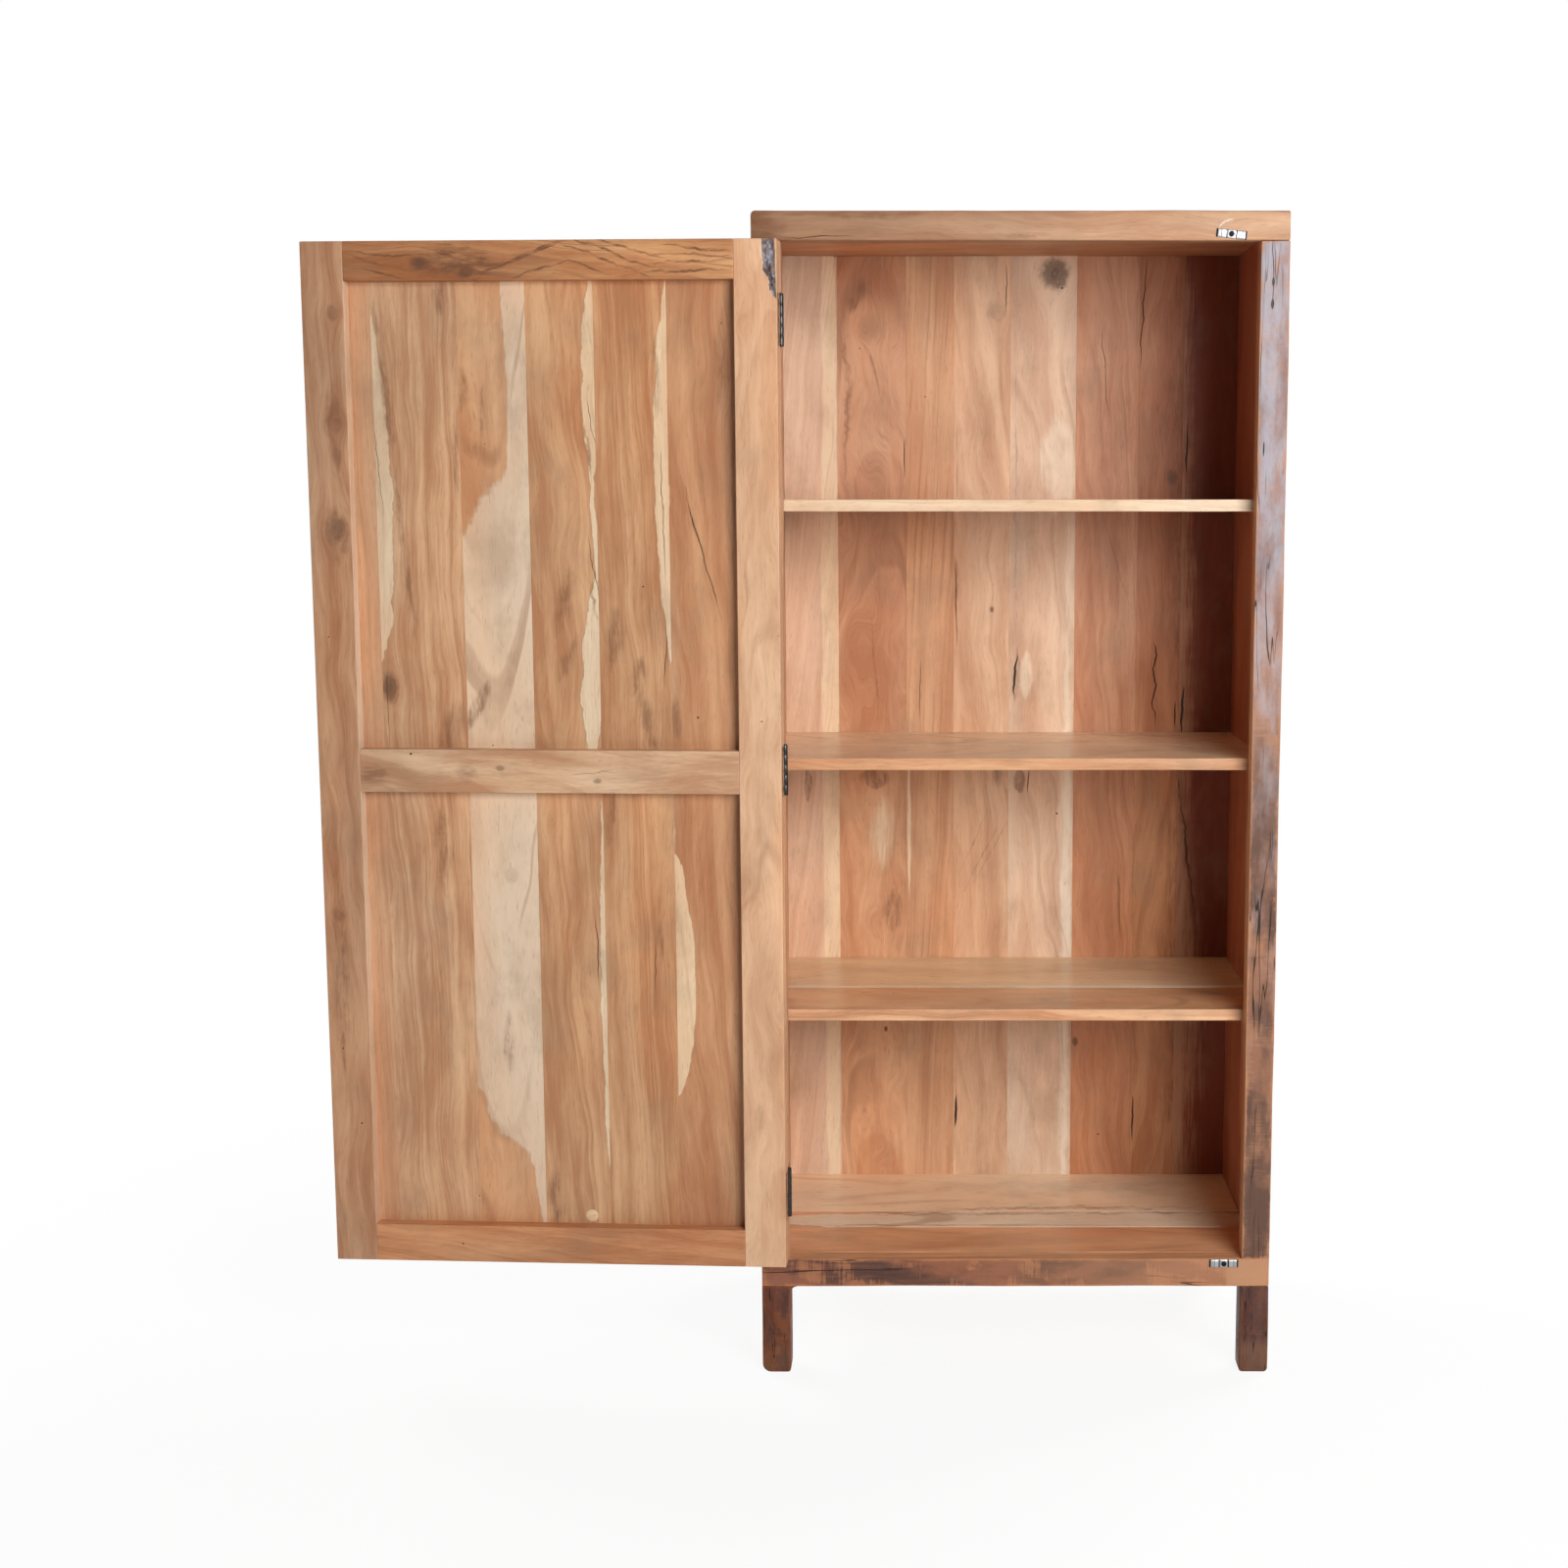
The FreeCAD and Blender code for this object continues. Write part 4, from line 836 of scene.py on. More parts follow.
def planed_material(name, axes, seed, look):
    """Finish of a planed board: grain, sapwood, knots, stains, scratches, cracks and worm holes."""
    wood = bpy.context.scene.cupboard_wood
    material, steps, shader = new_material(name)
    still = board_space(steps, axes)
    place = still
    knots = []
    for knot in look.knots:
        parts = steps.group(
            "Knot", vector=place, across=knot.across, along=knot.along, radius=knot.radius,
            roundness=knot.roundness,
        )
        place = parts["Vector"]
        knots.append((knot, parts))
    across, through, along = steps.split(place)
    grain = steps.group(
        "Board Grain", vector=steps.combine(across - along * look.lean, through, along), seed=seed,
        wander=look.wander, heart=look.heart, depth=look.depth, pitch=look.pitch, taper=look.taper,
    )
    shade = sum(grain[part] * share for part, share in TONE_SHARES.items())
    light = colour(wood.planed_light, look.tint)
    dark = colour(wood.planed_dark, look.tint)
    if look.end_tint:
        share = steps.ramp(along, *look.fade)
        light = steps.mix(share, light, colour(wood.planed_light, look.end_tint))
        dark = steps.mix(share, dark, colour(wood.planed_dark, look.end_tint))
    sap = union(steps, place, look.sap)
    if look.sap:
        light = steps.mix(sap, light, colour(wood.sapwood_light, look.sap_tint))
        dark = steps.mix(sap, dark, colour(wood.sapwood_dark, look.sap_tint))
    tint = steps.mix(steps.ramp(shade, 0.43, 0.93) * look.figure, light, dark)
    blush = steps.ramp(steps.noise(still, (9.0, 9.0, 2.2)), 0.38, 0.64)
    tint = steps.mix(blush, tint, colour(BLUSH), "MULTIPLY")
    tint = steps.mix(grain["Lines"] * look.lines, tint, colour(wood.late_growth))
    if look.sap_edge:
        border = sap * (1.0 - sap) * (grain["Streaks"] * (2 * look.sap_edge))
        tint = steps.mix(border, tint, colour(wood.late_growth))
    tint = steps.mix(grain["Pores"] * 0.24, tint, colour(wood.stain))
    dull = steps.ramp(steps.noise(still, (13.0, 13.0, 8.0), 4.0, 0.6), 0.48, 0.72)
    tint = steps.mix(dull * 0.30, tint, colour(wood.dirt))
    if look.stains:
        brushed = steps.ramp(steps.noise(place, (95.0, 95.0, 26.0), 4.0, 0.65), 0.36, 0.62)
        brushed = brushed * (0.48 * look.bold) + 0.16 * look.bold
        tint = steps.mix(union(steps, place, look.stains) * brushed, tint, colour(wood.stain))
    for knot, parts in knots:
        deep = parts["Mask"] * (parts["Rings"] * 0.8 + 0.6)
        tint = steps.mix(deep * knot.dark, tint, colour(wood.knot))
    for scratch in look.scratches:
        mask = steps.group("Arc Scratch", vector=still, **scratch._asdict())["Mask"]
        tint = steps.mix(mask * 0.7, tint, colour(wood.scratch))
    holes = steps.group("Worm Holes", vector=still, seed=seed, share=look.specks)["Mask"]
    if look.cracks:
        holes = steps.math("MAXIMUM", holes, union(steps, still, look.cracks))
    steps.join(steps.mix(holes, tint, colour(wood.crack)), shader.inputs["Base Color"])
    steps.join(grain["Fibre"] * 0.16 + (look.roughness - 0.08), shader.inputs["Roughness"])
    shader.inputs["Specular IOR Level"].default_value = 0.8 if look.roughness < 0.4 else 0.25
    bump(steps, grain["Fibre"] * 0.25 - holes * 3.0 - grain["Pores"] * 0.15, RELIEF, shader)
    return material


def old_material(name, axes, seed, low, high, tint=(1.0, 1.0, 1.0), haze=0.5, haze_from=None, worn=(),
                 grimy=(), gloss=0.25, scale=1.0, stretch=1.0, wear=1.0, pits=(), turn=None):
    """Finish of an old face: brown skin, grime, grey haze, scuffs, rubbed edges and drying cracks.

    Each of the worn spans gives where along the board the skin starts to thin, where it is thinnest and how
    thin it is there. Each of the grimy spans gives the same for mottled grime.
    """
    wood = bpy.context.scene.cupboard_wood
    material, steps, shader = new_material(name)
    place = board_space(steps, axes, turn)
    along = steps.split(place)[2]
    order = ["XYZ".index(axis) for axis in axes]
    middle = (low + high) / 2
    half = (high - low) / 2
    edge = steps.group(
        "Edge Distance", vector=place, middle=[middle[axis] for axis in order],
        half_size=[half[axis] for axis in order],
    )["Distance"]
    sized = steps.vector("MULTIPLY", place, (scale, scale, scale / stretch))
    skin = steps.group("Old Patina", vector=sized, seed=seed, edge=edge, reach=RUBBED_REACH)
    film = (skin["Haze"] * 0.7 + 0.3) * haze
    scuffs = skin["Scuffs"] * wear
    dirt = skin["Grime"] * (skin["Lines"] * (0.9 * wear) + 0.35 * wear)
    # On the front stiles the grey film grows towards the top: partly real haze, partly a painted sheen.
    if haze_from:
        haze_and_painted_sheen = steps.ramp(skin["Haze"] * 0.35 + along, *haze_from)
        bare = 1.0 - haze_and_painted_sheen * 0.60
        film = film * haze_and_painted_sheen
        scuffs = scuffs * bare
        dirt = dirt * bare
    deep = skin["Saw"] * 0.5 + skin["Lines"] * 0.5
    base = steps.mix(deep, colour(wood.patina, tint), colour([0.62 * part for part in wood.patina], tint))
    base = steps.mix(film, base, colour(wood.haze))
    base = steps.mix(dirt, base, colour(wood.grime))
    base = steps.mix(scuffs * 0.55, base, colour(wood.worn, tint))
    for start, end, share in worn:
        base = steps.mix(steps.ramp(along, start, end) * share, base, colour(wood.worn))
    for start, end, share in grimy:
        mottled = skin["Grime"] * share + 0.25 * share
        base = steps.mix(steps.ramp(along, start, end) * mottled, base, colour(wood.grime))
    base = steps.mix(skin["Rubbed"] * 0.75, base, colour(wood.worn, tint))
    cracks = skin["Cracks"]
    if pits:
        cracks = steps.math("MAXIMUM", cracks, union(steps, place, pits))
    steps.join(steps.mix(cracks, base, colour(wood.crack)), shader.inputs["Base Color"])
    steps.join(skin["Grime"] * 0.20 + skin["Rubbed"] * 0.15 + 0.42, shader.inputs["Roughness"])
    shader.inputs["Specular IOR Level"].default_value = gloss
    relief = skin["Lines"] * 0.5 + skin["Saw"] * 0.4 + skin["Grime"] * 0.5 - cracks * 2.5
    bump(steps, relief, RELIEF, shader)
    return material


def steel_material(name, skin, bare, rub, roughness):
    """Finish of a steel piece: its skin, rubbed bright in patches, with fine scratches."""
    material, steps, shader = new_material(name)
    place = steps.object_place()
    cloud = steps.noise(place, (160.0, 160.0, 120.0), 4.0, 0.6)
    scratch = steps.noise(place, (900.0, 900.0, 60.0))
    rubbed = steps.ramp(scratch * 0.35 + cloud, 0.78 - rub, 0.98 - rub)
    steps.join(steps.mix(rubbed, colour(skin), colour(bare)), shader.inputs["Base Color"])
    steps.join(cloud * 0.25 + roughness, shader.inputs["Roughness"])
    shader.inputs["Metallic"].default_value = 1.0
    bump(steps, scratch, STEEL_RELIEF, shader)
    return material


def box_of(points):
    """Lowest and highest corner of some points."""
    low = Vector([min(point[axis] for point in points) for axis in range(3)])
    high = Vector([max(point[axis] for point in points) for axis in range(3)])
    return low, high


def shut_box(node):
    """Lowest and highest corner of a door node with the door turned shut."""
    return box_of([SHUT_DOOR @ vertex.co for vertex in frame["nodes"][node].data.vertices])


# Distances in metres that the boards share, and the angles in degrees at which their faces part
SAME_POINT = 0.000002
NEAR = 0.0001
NET_SPACING = 0.015
CUT_SPACING = 0.045
UNEVEN_SPACING = 0.16
FLAT_CREASE = 15
ROUND_CREASE = 30


def piece_name(node):
    """Name of the piece that stands for a node."""
    return node.replace("_", "-")


def select_only(*pieces):
    """Select these pieces alone and make the first one active."""
    bpy.ops.object.select_all(action="DESELECT")
    for piece in pieces:
        piece.select_set(True)
    bpy.context.view_layer.objects.active = pieces[0]


def apply_place():
    """Put the place, turn and size of the selected pieces into their meshes."""
    bpy.ops.object.transform_apply(location=True, rotation=True, scale=True)


def settle(piece, place):
    """Move a piece to its place and put that place into its mesh."""
    select_only(piece)
    piece.matrix_world = place
    apply_place()


def smooth(angle):
    """Shade the active piece smooth, apart from edges that turn by more than an angle in degrees."""
    bpy.ops.object.shade_smooth_by_angle(angle=math.radians(angle))


def choose(piece, kind, chosen):
    """Go to edit mode with only the chosen edges or faces of a piece selected."""
    bpy.context.tool_settings.mesh_select_mode = (False, kind == "edges", kind == "faces")
    bpy.ops.object.mode_set(mode="EDIT")
    mesh = bmesh.from_edit_mesh(piece.data)
    for part in getattr(mesh, kind):
        part.select = chosen(part)
    mesh.select_flush(True)
    bmesh.update_edit_mesh(piece.data)


def inset_faces(piece, way, rings):
    """Inset and raise the faces that look one way, once for each ring's width and rise."""
    choose(piece, "faces", lambda face: face.normal.dot(way) > 0.9)
    for width, rise in rings:
        bpy.ops.mesh.inset(thickness=width, depth=rise)
    bpy.ops.object.mode_set(mode="OBJECT")


def cut_lengthwise(board, axis, count):
    """Divide the edges that run along one axis, and no others."""
    bpy.ops.mesh.select_all(action="DESELECT")
    mesh = bmesh.from_edit_mesh(board.data)
    for edge in mesh.edges:
        run = edge.verts[1].co - edge.verts[0].co
        if abs(run[axis]) > 0.9 * run.length:
            edge.select = True
    bmesh.update_edit_mesh(board.data)
    bpy.ops.mesh.subdivide(number_cuts=count)


def apply_modifier(board, kind, **settings):
    """Add a modifier, set it and apply it."""
    modifier = board.modifiers.new(kind.title(), kind)
    for key, value in settings.items():
        setattr(modifier, key, value)
    bpy.ops.object.modifier_apply(modifier=modifier.name)


def ease_edges(piece, width, angle=40):
    """Ease the edges of a piece that turn by more than an angle in degrees."""
    apply_modifier(
        piece, "BEVEL", width=width, segments=2, limit_method="ANGLE", angle_limit=math.radians(angle),
    )


def uneven_texture():
    """The soft noise that swells and dips the faces of the boards."""
    name = "uneven faces"
    texture = bpy.data.textures.get(name)
    if texture is None:
        texture = bpy.data.textures.new(name, "CLOUDS")
        texture.noise_scale = UNEVEN_SPACING
        texture.noise_depth = 2
    return texture


def start_board(node, low, high):
    """Add a cube at a board's size and place, selected alone, with its place in its mesh."""
    bpy.ops.object.select_all(action="DESELECT")
    bpy.ops.mesh.primitive_cube_add(size=1, location=(low + high) / 2)
    board = bpy.context.object
    board.name = piece_name(node)
    board.data.name = board.name
    board.scale = high - low
    apply_place()
    return board


def divide_board(board, low, high, axes):
    """Cut a board's broad faces into a net about a finger wide, so that they can swell and dip."""
    bpy.context.tool_settings.mesh_select_mode = (False, True, False)
    bpy.ops.object.mode_set(mode="EDIT")
    for axis in (axes[2], axes[0]):
        number = "XYZ".index(axis)
        count = int((high[number] - low[number]) / NET_SPACING)
        if count:
            cut_lengthwise(board, number, count)
    bpy.ops.object.mode_set(mode="OBJECT")


def ease_board(board, arris, unevenness, way="NORMAL", crease=FLAT_CREASE):
    """Ease a board's edges and make its faces slightly uneven, along one axis or along their normals.

    Faces that meet at more than the crease, in degrees, are shaded apart.
    """
    ease_edges(board, arris)
    apply_modifier(
        board, "DISPLACE", texture=uneven_texture(), texture_coords="LOCAL", direction=way,
        strength=unevenness, mid_level=0.5,
    )
    smooth(crease)


def round_edges(board, chosen, radius):
    """Round the edges both of whose ends are chosen."""
    choose(board, "edges", lambda edge: all(chosen(vertex.co) for vertex in edge.verts))
    bpy.ops.mesh.bevel(offset=radius, segments=5, affect="EDGES")
    bpy.ops.object.mode_set(mode="OBJECT")


def slice_board(board, axis, places):
    """Cut right through a board at each of these places along one axis."""
    way = [0, 0, 0]
    way[axis] = 1
    select_only(board)
    bpy.ops.object.mode_set(mode="EDIT")
    for place in places:
        bpy.ops.mesh.select_all(action="SELECT")
        bpy.ops.mesh.bisect(plane_co=[place * share for share in way], plane_no=way)
    bpy.ops.object.mode_set(mode="OBJECT")


def make_board(node, low, high, axes, old=False, rounds=(), arris=None):
    """Model one board with eased edges, and with the rounded corners that it is given."""
    wood = bpy.context.scene.cupboard_wood
    board = start_board(node, low, high)
    for chosen, radius in rounds:
        round_edges(board, chosen, radius)
    if rounds:
        axis = "XYZ".index(axes[2])
        count = int((high[axis] - low[axis]) / CUT_SPACING)
        step = (high[axis] - low[axis]) / (count + 1)
        slice_board(board, axis, [low[axis] + step * (number + 1) for number in range(count)])
    else:
        divide_board(board, low, high, axes)
    if old and rounds:
        ease_board(board, wood.rubbed_arris, wood.old_unevenness, crease=ROUND_CREASE)
    elif old and not arris:
        ease_board(board, wood.old_arris, wood.old_unevenness)
    else:
        ease_board(board, arris or wood.arris, wood.unevenness, axes[1])
    return board


def paint_faces(board, ways, slot):
    """Give the faces that look along any of these ways the material in a slot."""
    for face in board.data.polygons:
        if any(face.normal.dot(way) > 0.6 for way in ways):
            face.material_index = slot


def hand_over(board, node):
    """Let a board stand for its node and move with the node's body."""
    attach(board, frame["nodes"][node]["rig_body"])
    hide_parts(node)


def outer_skin(node):
    """The calm old skin of a large outer face, a little lighter or darker from board to board."""
    shade = 0.95 + 0.22 * noise.noise(Vector((seed_of(node) * 0.77, 0.4, 0.2)))
    return {"tint": (shade, shade * 0.94, shade * 0.92), "haze": 0.40, "stretch": 2.6, "wear": 0.40}


def seed_of(node):
    """A number of its own for each node, the same in every run."""
    return float(sorted(frame["nodes"]).index(node) + 1)


def finish_board(board, node, low, high, axes, old_ways, **old_finish):
    """Give a board its planed finish and, on the faces that look the old ways, its old one."""
    seed = seed_of(node)
    board.data.materials.append(planed_material(f"{node} planed", axes, seed, LOOKS.get(node, Look())))
    if old_ways:
        board.data.materials.append(old_material(f"{node} old", axes, seed, low, high, **old_finish))
        paint_faces(board, old_ways, 1)


def dress_board(node, low, high, axes, slot, old_ways=(), rounds=(), arris=None, **old_finish):
    """Model a carcase board and give it its finishes, planed and, on the faces named, old."""
    board = make_board(node, low, high, axes, bool(old_ways), rounds, arris)
    finish_board(board, node, low, high, axes, old_ways, **old_finish)
    hand_over(board, node)
    return board


def dress_door_board(node, low, high, axes, shape=None, arris=None):
    """Model a door board shut, finish it and turn it open."""
    board = make_board(node, low, high, axes, arris=arris)
    finish_board(board, node, low, high, axes, (FRONT,), turn=SHUT_DOOR, **outer_skin(node))
    if shape:
        shape(board, low, high)
    settle(board, OPEN_DOOR)
    hand_over(board, node)


def add_edge(board, name, axes, seed, way):
    """Give the faces of a board that look one way a planed finish of their own."""
    board.data.materials.append(planed_material(name, axes, seed, LOOKS[name]))
    paint_faces(board, (way,), len(board.data.materials) - 1)


# Radii of the top rail's two rubbed corners
LEFT_CORNER = 0.007
RIGHT_CORNER = 0.003

# Pits and a drying crack high on the right stile, across and along in metres
PITS = (
    Streak(0.699, 1.672, 0.0022, 0.007, 0.0, 0.001, 0.001),
    Streak(0.699, 1.640, 0.0026, 0.008, 0.0, 0.001, 0.001),
    Streak(0.699, 1.690, 0.0008, 0.060, 0.0, 0.002, 0.001),
    Streak(0.690, 1.430, 0.0014, 0.012, 0.0, 0.001, 0.001),
)


class CUPBOARD_OT_front_frame(bpy.types.Operator):
    """Make the two stiles and two rails of the face frame"""
    bl_idname = "cupboard.front_frame"
    bl_label = "Front Frame"

    def execute(self, context):
        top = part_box("front_top_rail")
        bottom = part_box("front_bottom_rail")
        corners = (
            (lambda point: point.x < top[0].x + NEAR and point.z > top[1].z - NEAR, LEFT_CORNER),
            (lambda point: point.x > top[1].x - NEAR and point.z > top[1].z - NEAR, RIGHT_CORNER),
        )
        dress_board(
            "front_top_rail", *top, "ZYX", "planed_wood", (UP,), corners, **outer_skin("front_top_rail"),
        )
        dress_board(
            "front_bottom_rail", *bottom, "ZYX", "weathered_wood", (FRONT, DOWN, LEFT, RIGHT), haze=0.06,
            tint=(1.02, 0.81, 0.68), worn=((0.10, 0.60, 0.40), (0.655, 0.660, 0.75)),
        )
        for side, outside in (("left", LEFT), ("right", RIGHT)):
            node = f"{side}_front_stile"
            low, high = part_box(node)
            low.z = bottom[1].z
            high.z = top[0].z
            # The stiles' grey film, full towards the top, is partly real haze and partly a painted sheen.
            dress_board(
                node, low, high, "XYZ", "weathered_wood", (FRONT, outside), haze=0.95,
                haze_from=(0.72, 1.34), tint=(0.94, 0.85, 0.84), pits=PITS, worn=((1.32, 1.08, 0.26),),
                grimy=((1.02, 0.86, 0.52),),
            )
        return {"FINISHED"}


# Radii of the edges under the feet, and where a leg's hollow is cut, as shares of its height
OUTER_FOOT = 0.006
WORN_FOOT = 0.013
INNER_FOOT = 0.005
COVE_CUTS = (1.0, 0.65, 0.4, 0.2, 0.08)


def cove_leg(leg, inner, top, cove):
    """Sweep the inner face of a leg out to the rail above it in a small hollow curve."""
    for vertex in leg.data.vertices:
        rise = vertex.co.z - (top - cove)
        if vertex.co.x > inner - 0.001 and rise > 0:
            vertex.co.x += cove - math.sqrt(max(cove * cove - rise * rise, 0.0))


class CUPBOARD_OT_legs(bpy.types.Operator):
    """Make the four short legs and the hidden rails between them"""
    bl_idname = "cupboard.legs"
    bl_label = "Legs"

    def execute(self, context):
        wood = context.scene.cupboard_wood
        leg_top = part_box("front_bottom_rail")[0].z
        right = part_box("right_front_leg")
        leg_width = right[1].x - right[0].x
        for node in ("left_front_leg", "right_front_leg", "left_rear_leg", "right_rear_leg"):
            low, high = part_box(node)
            cove = high.x - low.x - leg_width
            high.x = low.x + leg_width
            high.z = leg_top
            leg = start_board(node, low, high)
            self.round_foot(leg, low, high, node)
            step = (leg_top - low.z) / 6
            slice_board(leg, 2, [low.z + step * number for number in range(1, 6)])
            if cove > 0.001:
                slice_board(leg, 2, [leg_top - cove * share for share in COVE_CUTS])
                cove_leg(leg, high.x, leg_top, cove)
            ease_board(leg, wood.rubbed_arris, wood.old_unevenness, crease=ROUND_CREASE)
            on_right = node.startswith("right")
            tint = (0.34, 0.26, 0.255) if on_right else (0.48, 0.32, 0.24)
            finish = old_material(
                f"{node} old", "XYZ", seed_of(node), low, high, tint=tint, haze=0.08, gloss=0.10, scale=2.2,
                worn=((0.060, 0.035, 0.16 if on_right else 0.06),),
            )
            leg.data.materials.append(finish)
            hand_over(leg, node)
        for node in ("left_base_rail", "right_base_rail", "rear_bottom_rail"):
            axes = "ZYX" if node.startswith("rear") else "ZXY"
            dress_board(node, *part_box(node), axes, "weathered_wood", (DOWN, FRONT, BACK, LEFT, RIGHT))
        return {"FINISHED"}

    def round_foot(self, leg, low, high, node):
        """Round the edges of a leg's foot, the outer one most, and on the left front leg still more."""
        outer = low.x if node.startswith("left") else high.x
        inner = low.x + high.x - outer
        sole = low.z + NEAR
        radius = WORN_FOOT if node == "left_front_leg" else OUTER_FOOT
        round_edges(leg, lambda point: point.z < sole and abs(point.x - outer) < NEAR, radius)
        round_edges(leg, lambda point: point.z < sole and abs(point.x - inner) < NEAR, INNER_FOOT)


class CUPBOARD_OT_side_boards(bpy.types.Operator):
    """Make the boards of the two sides"""
    bl_idname = "cupboard.side_boards"
    bl_label = "Side Boards"

    def execute(self, context):
        for side, outside in (("left", LEFT), ("right", RIGHT)):
            for place in ("front", "rear"):
                node = f"{side}_side_{place}_board"
                ways = (outside, DOWN, BACK)
                dress_board(node, *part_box(node), "YXZ", "weathered_wood", ways, **outer_skin(node))
        return {"FINISHED"}


class CUPBOARD_OT_flat_boards(bpy.types.Operator):
    """Make the boards of the top, the floor and the shelves"""
    bl_idname = "cupboard.flat_boards"
    bl_label = "Top, Floor and Shelves"

    def execute(self, context):
        for node in ("top_front_board", "top_rear_board"):
            ways = (UP, LEFT, RIGHT, BACK)
            dress_board(node, *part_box(node), "YZX", "weathered_wood", ways, **outer_skin(node))
        for place in ("front", "middle", "rear"):
            node = f"floor_{place}_board"
            dress_board(node, *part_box(node), "YZX", "planed_wood")
        for shelf in ("lower", "middle", "upper"):
            for place in ("front", "rear"):
                node = f"{shelf}_shelf_{place}_board"
                board = dress_board(node, *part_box(node), "YZX", "planed_wood")
                if place == "front":
                    add_edge(board, f"{shelf}_shelf_front_edge", "ZYX", seed_of(node), FRONT)
        return {"FINISHED"}


class CUPBOARD_OT_back_boards(bpy.types.Operator):
    """Make the eight upright boards of the back"""
    bl_idname = "cupboard.back_boards"
    bl_label = "Back Boards"

    def execute(self, context):
        arris = context.scene.cupboard_wood.joint_arris
        for number in range(1, 9):
            node = f"back_board_{number}"
            dress_board(node, *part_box(node), "XYZ", "planed_wood", (BACK,), arris=arris, **outer_skin(node))
        return {"FINISHED"}


# Size of the wane at the top of the hinge stile, and how finely the stile is cut there
WANE_WIDTH = 0.022
WANE_HEIGHT = 0.088
WANE_DEPTH = 0.0045
STRIP_WIDTH = 0.0034
WANE_CUT_WIDTH = 0.0012
WANE_CUT_HEIGHT = 0.0018


def wane_share(aside, down):
    """How far a point lies inside the wane, from 0 at its borders to 1 in its middle."""
    if down > WANE_HEIGHT:
        return 0.0
    wobble = 0.0016 * noise.noise(Vector((0.0, 0.0, down * 190)))
    swell = 0.0050 * noise.noise(Vector((3.0, 0.0, down * 60)))
    outer = STRIP_WIDTH - 0.030 * down
    inner = WANE_WIDTH * (1 - (down / WANE_HEIGHT) ** 2.4) + wobble + swell
    if not outer < aside < inner:
        return 0.0
    return math.sin(math.pi * (aside - outer) / (inner - outer))


class CUPBOARD_OT_door_frame(bpy.types.Operator):
    """Make the stiles and rails of the door"""
    bl_idname = "cupboard.door_frame"
    bl_label = "Door Frame"

    def execute(self, context):
        hinge = shut_box("door_hinge_stile")
        free = shut_box("door_free_stile")
        dress_door_board("door_hinge_stile", *hinge, "XYZ", self.cut_wane)
        dress_door_board("door_free_stile", *free, "XYZ", self.pale_edge)
        for node in ("door_top_rail", "door_mid_rail", "door_bottom_rail"):
            low, high = shut_box(node)
            low.x = hinge[1].x
            high.x = free[0].x
            dress_door_board(node, low, high, "ZYX")
        return {"FINISHED"}

    def pale_edge(self, stile, low, high):
        """Give the edge of the free stile beside the panel a paler wood, partly painted light on this face,
        which turns towards the lamp.
        """
        add_edge(stile, "door_free_stile_edge", "YXZ", seed_of("door_free_stile"), LEFT)

    def cut_wane(self, stile, low, high):
        """Sink the top corner of the hinge stile's inner face, where the tree's own rough skin was left."""
        slice_board(stile, 0, [low.x + WANE_CUT_WIDTH * number for number in range(1, 19)])
        slice_board(stile, 2, [high.z - WANE_CUT_HEIGHT * number for number in range(1, 51)])
        for vertex in stile.data.vertices:
            share = wane_share(vertex.co.x - low.x, high.z - vertex.co.z)
            if share and vertex.co.y > high.y - 0.003:
                rough = noise.noise(vertex.co * 190) + 0.7 * noise.noise(vertex.co * 430)
                vertex.co.y -= WANE_DEPTH * math.sqrt(share) * (0.65 + 0.9 * rough)
        for face in stile.data.polygons:
            inside = wane_share(face.center.x - low.x, high.z - face.center.z)
            if inside and face.center.y > high.y - 2 * WANE_DEPTH:
                face.material_index = 2
        finish = old_material(
            "wane", "XYZ", 5.0, low, high, tint=(0.6, 0.8, 1.0), haze=1.4, gloss=0.1, scale=5.0,
            turn=SHUT_DOOR,
        )
        stile.data.materials.append(finish)


class CUPBOARD_OT_door_panel(bpy.types.Operator):
    """Make the six boards of the door's panel and the plug in one of them"""
    bl_idname = "cupboard.door_panel"
    bl_label = "Door Panel"

    def execute(self, context):
        arris = context.scene.cupboard_wood.joint_arris
        for number in range(1, 7):
            node = f"door_panel_board_{number}"
            dress_door_board(node, *shut_box(node), "XYZ", arris=arris)
        self.make_plug()
        return {"FINISHED"}

    def make_plug(self):
        """Turn the round plug, slightly crowned and proud of its board."""
        node = "door_panel_plug"
        low, high = shut_box(node)
        radius = (high.x - low.x) / 2
        bpy.ops.object.select_all(action="DESELECT")
        bpy.ops.mesh.primitive_cylinder_add(
            vertices=48, radius=radius - 0.0002, depth=high.y - low.y, location=(low + high) / 2,
            rotation=(-math.pi / 2, 0, 0),
        )
        plug = bpy.context.object
        plug.name = piece_name(node)
        apply_place()
        inset_faces(plug, BACK, ((0.0007, 0.0005), (0.0020, 0.0003), (0.0040, 0.0001)))
        smooth(50)
        look = Look(tint=(1.15, 1.50, 1.80), wander=0.004, heart=0.30, pitch=0.006, figure=0.5, lines=0.1)
        plug.data.materials.append(planed_material("plug wood", "ZYX", seed_of(node), look))
        settle(plug, OPEN_DOOR)
        hand_over(plug, node)


def eased_copy(node, width):
    """A copy of a steel node's shape with eased edges."""
    mesh = frame["nodes"][node].data.copy()
    mesh.materials.clear()
    piece = bpy.data.objects.new(piece_name(node), mesh)
    bpy.context.scene.collection.objects.link(piece)
    select_only(piece)
    bpy.ops.mesh.customdata_custom_splitnormals_clear()
    bpy.ops.object.mode_set(mode="EDIT")
    bpy.ops.mesh.select_all(action="SELECT")
    bpy.ops.mesh.remove_doubles(threshold=SAME_POINT)
    bpy.ops.mesh.dissolve_limited(angle_limit=math.radians(1))
    bpy.ops.object.mode_set(mode="OBJECT")
    ease_edges(piece, width)
    smooth(35)
    return piece


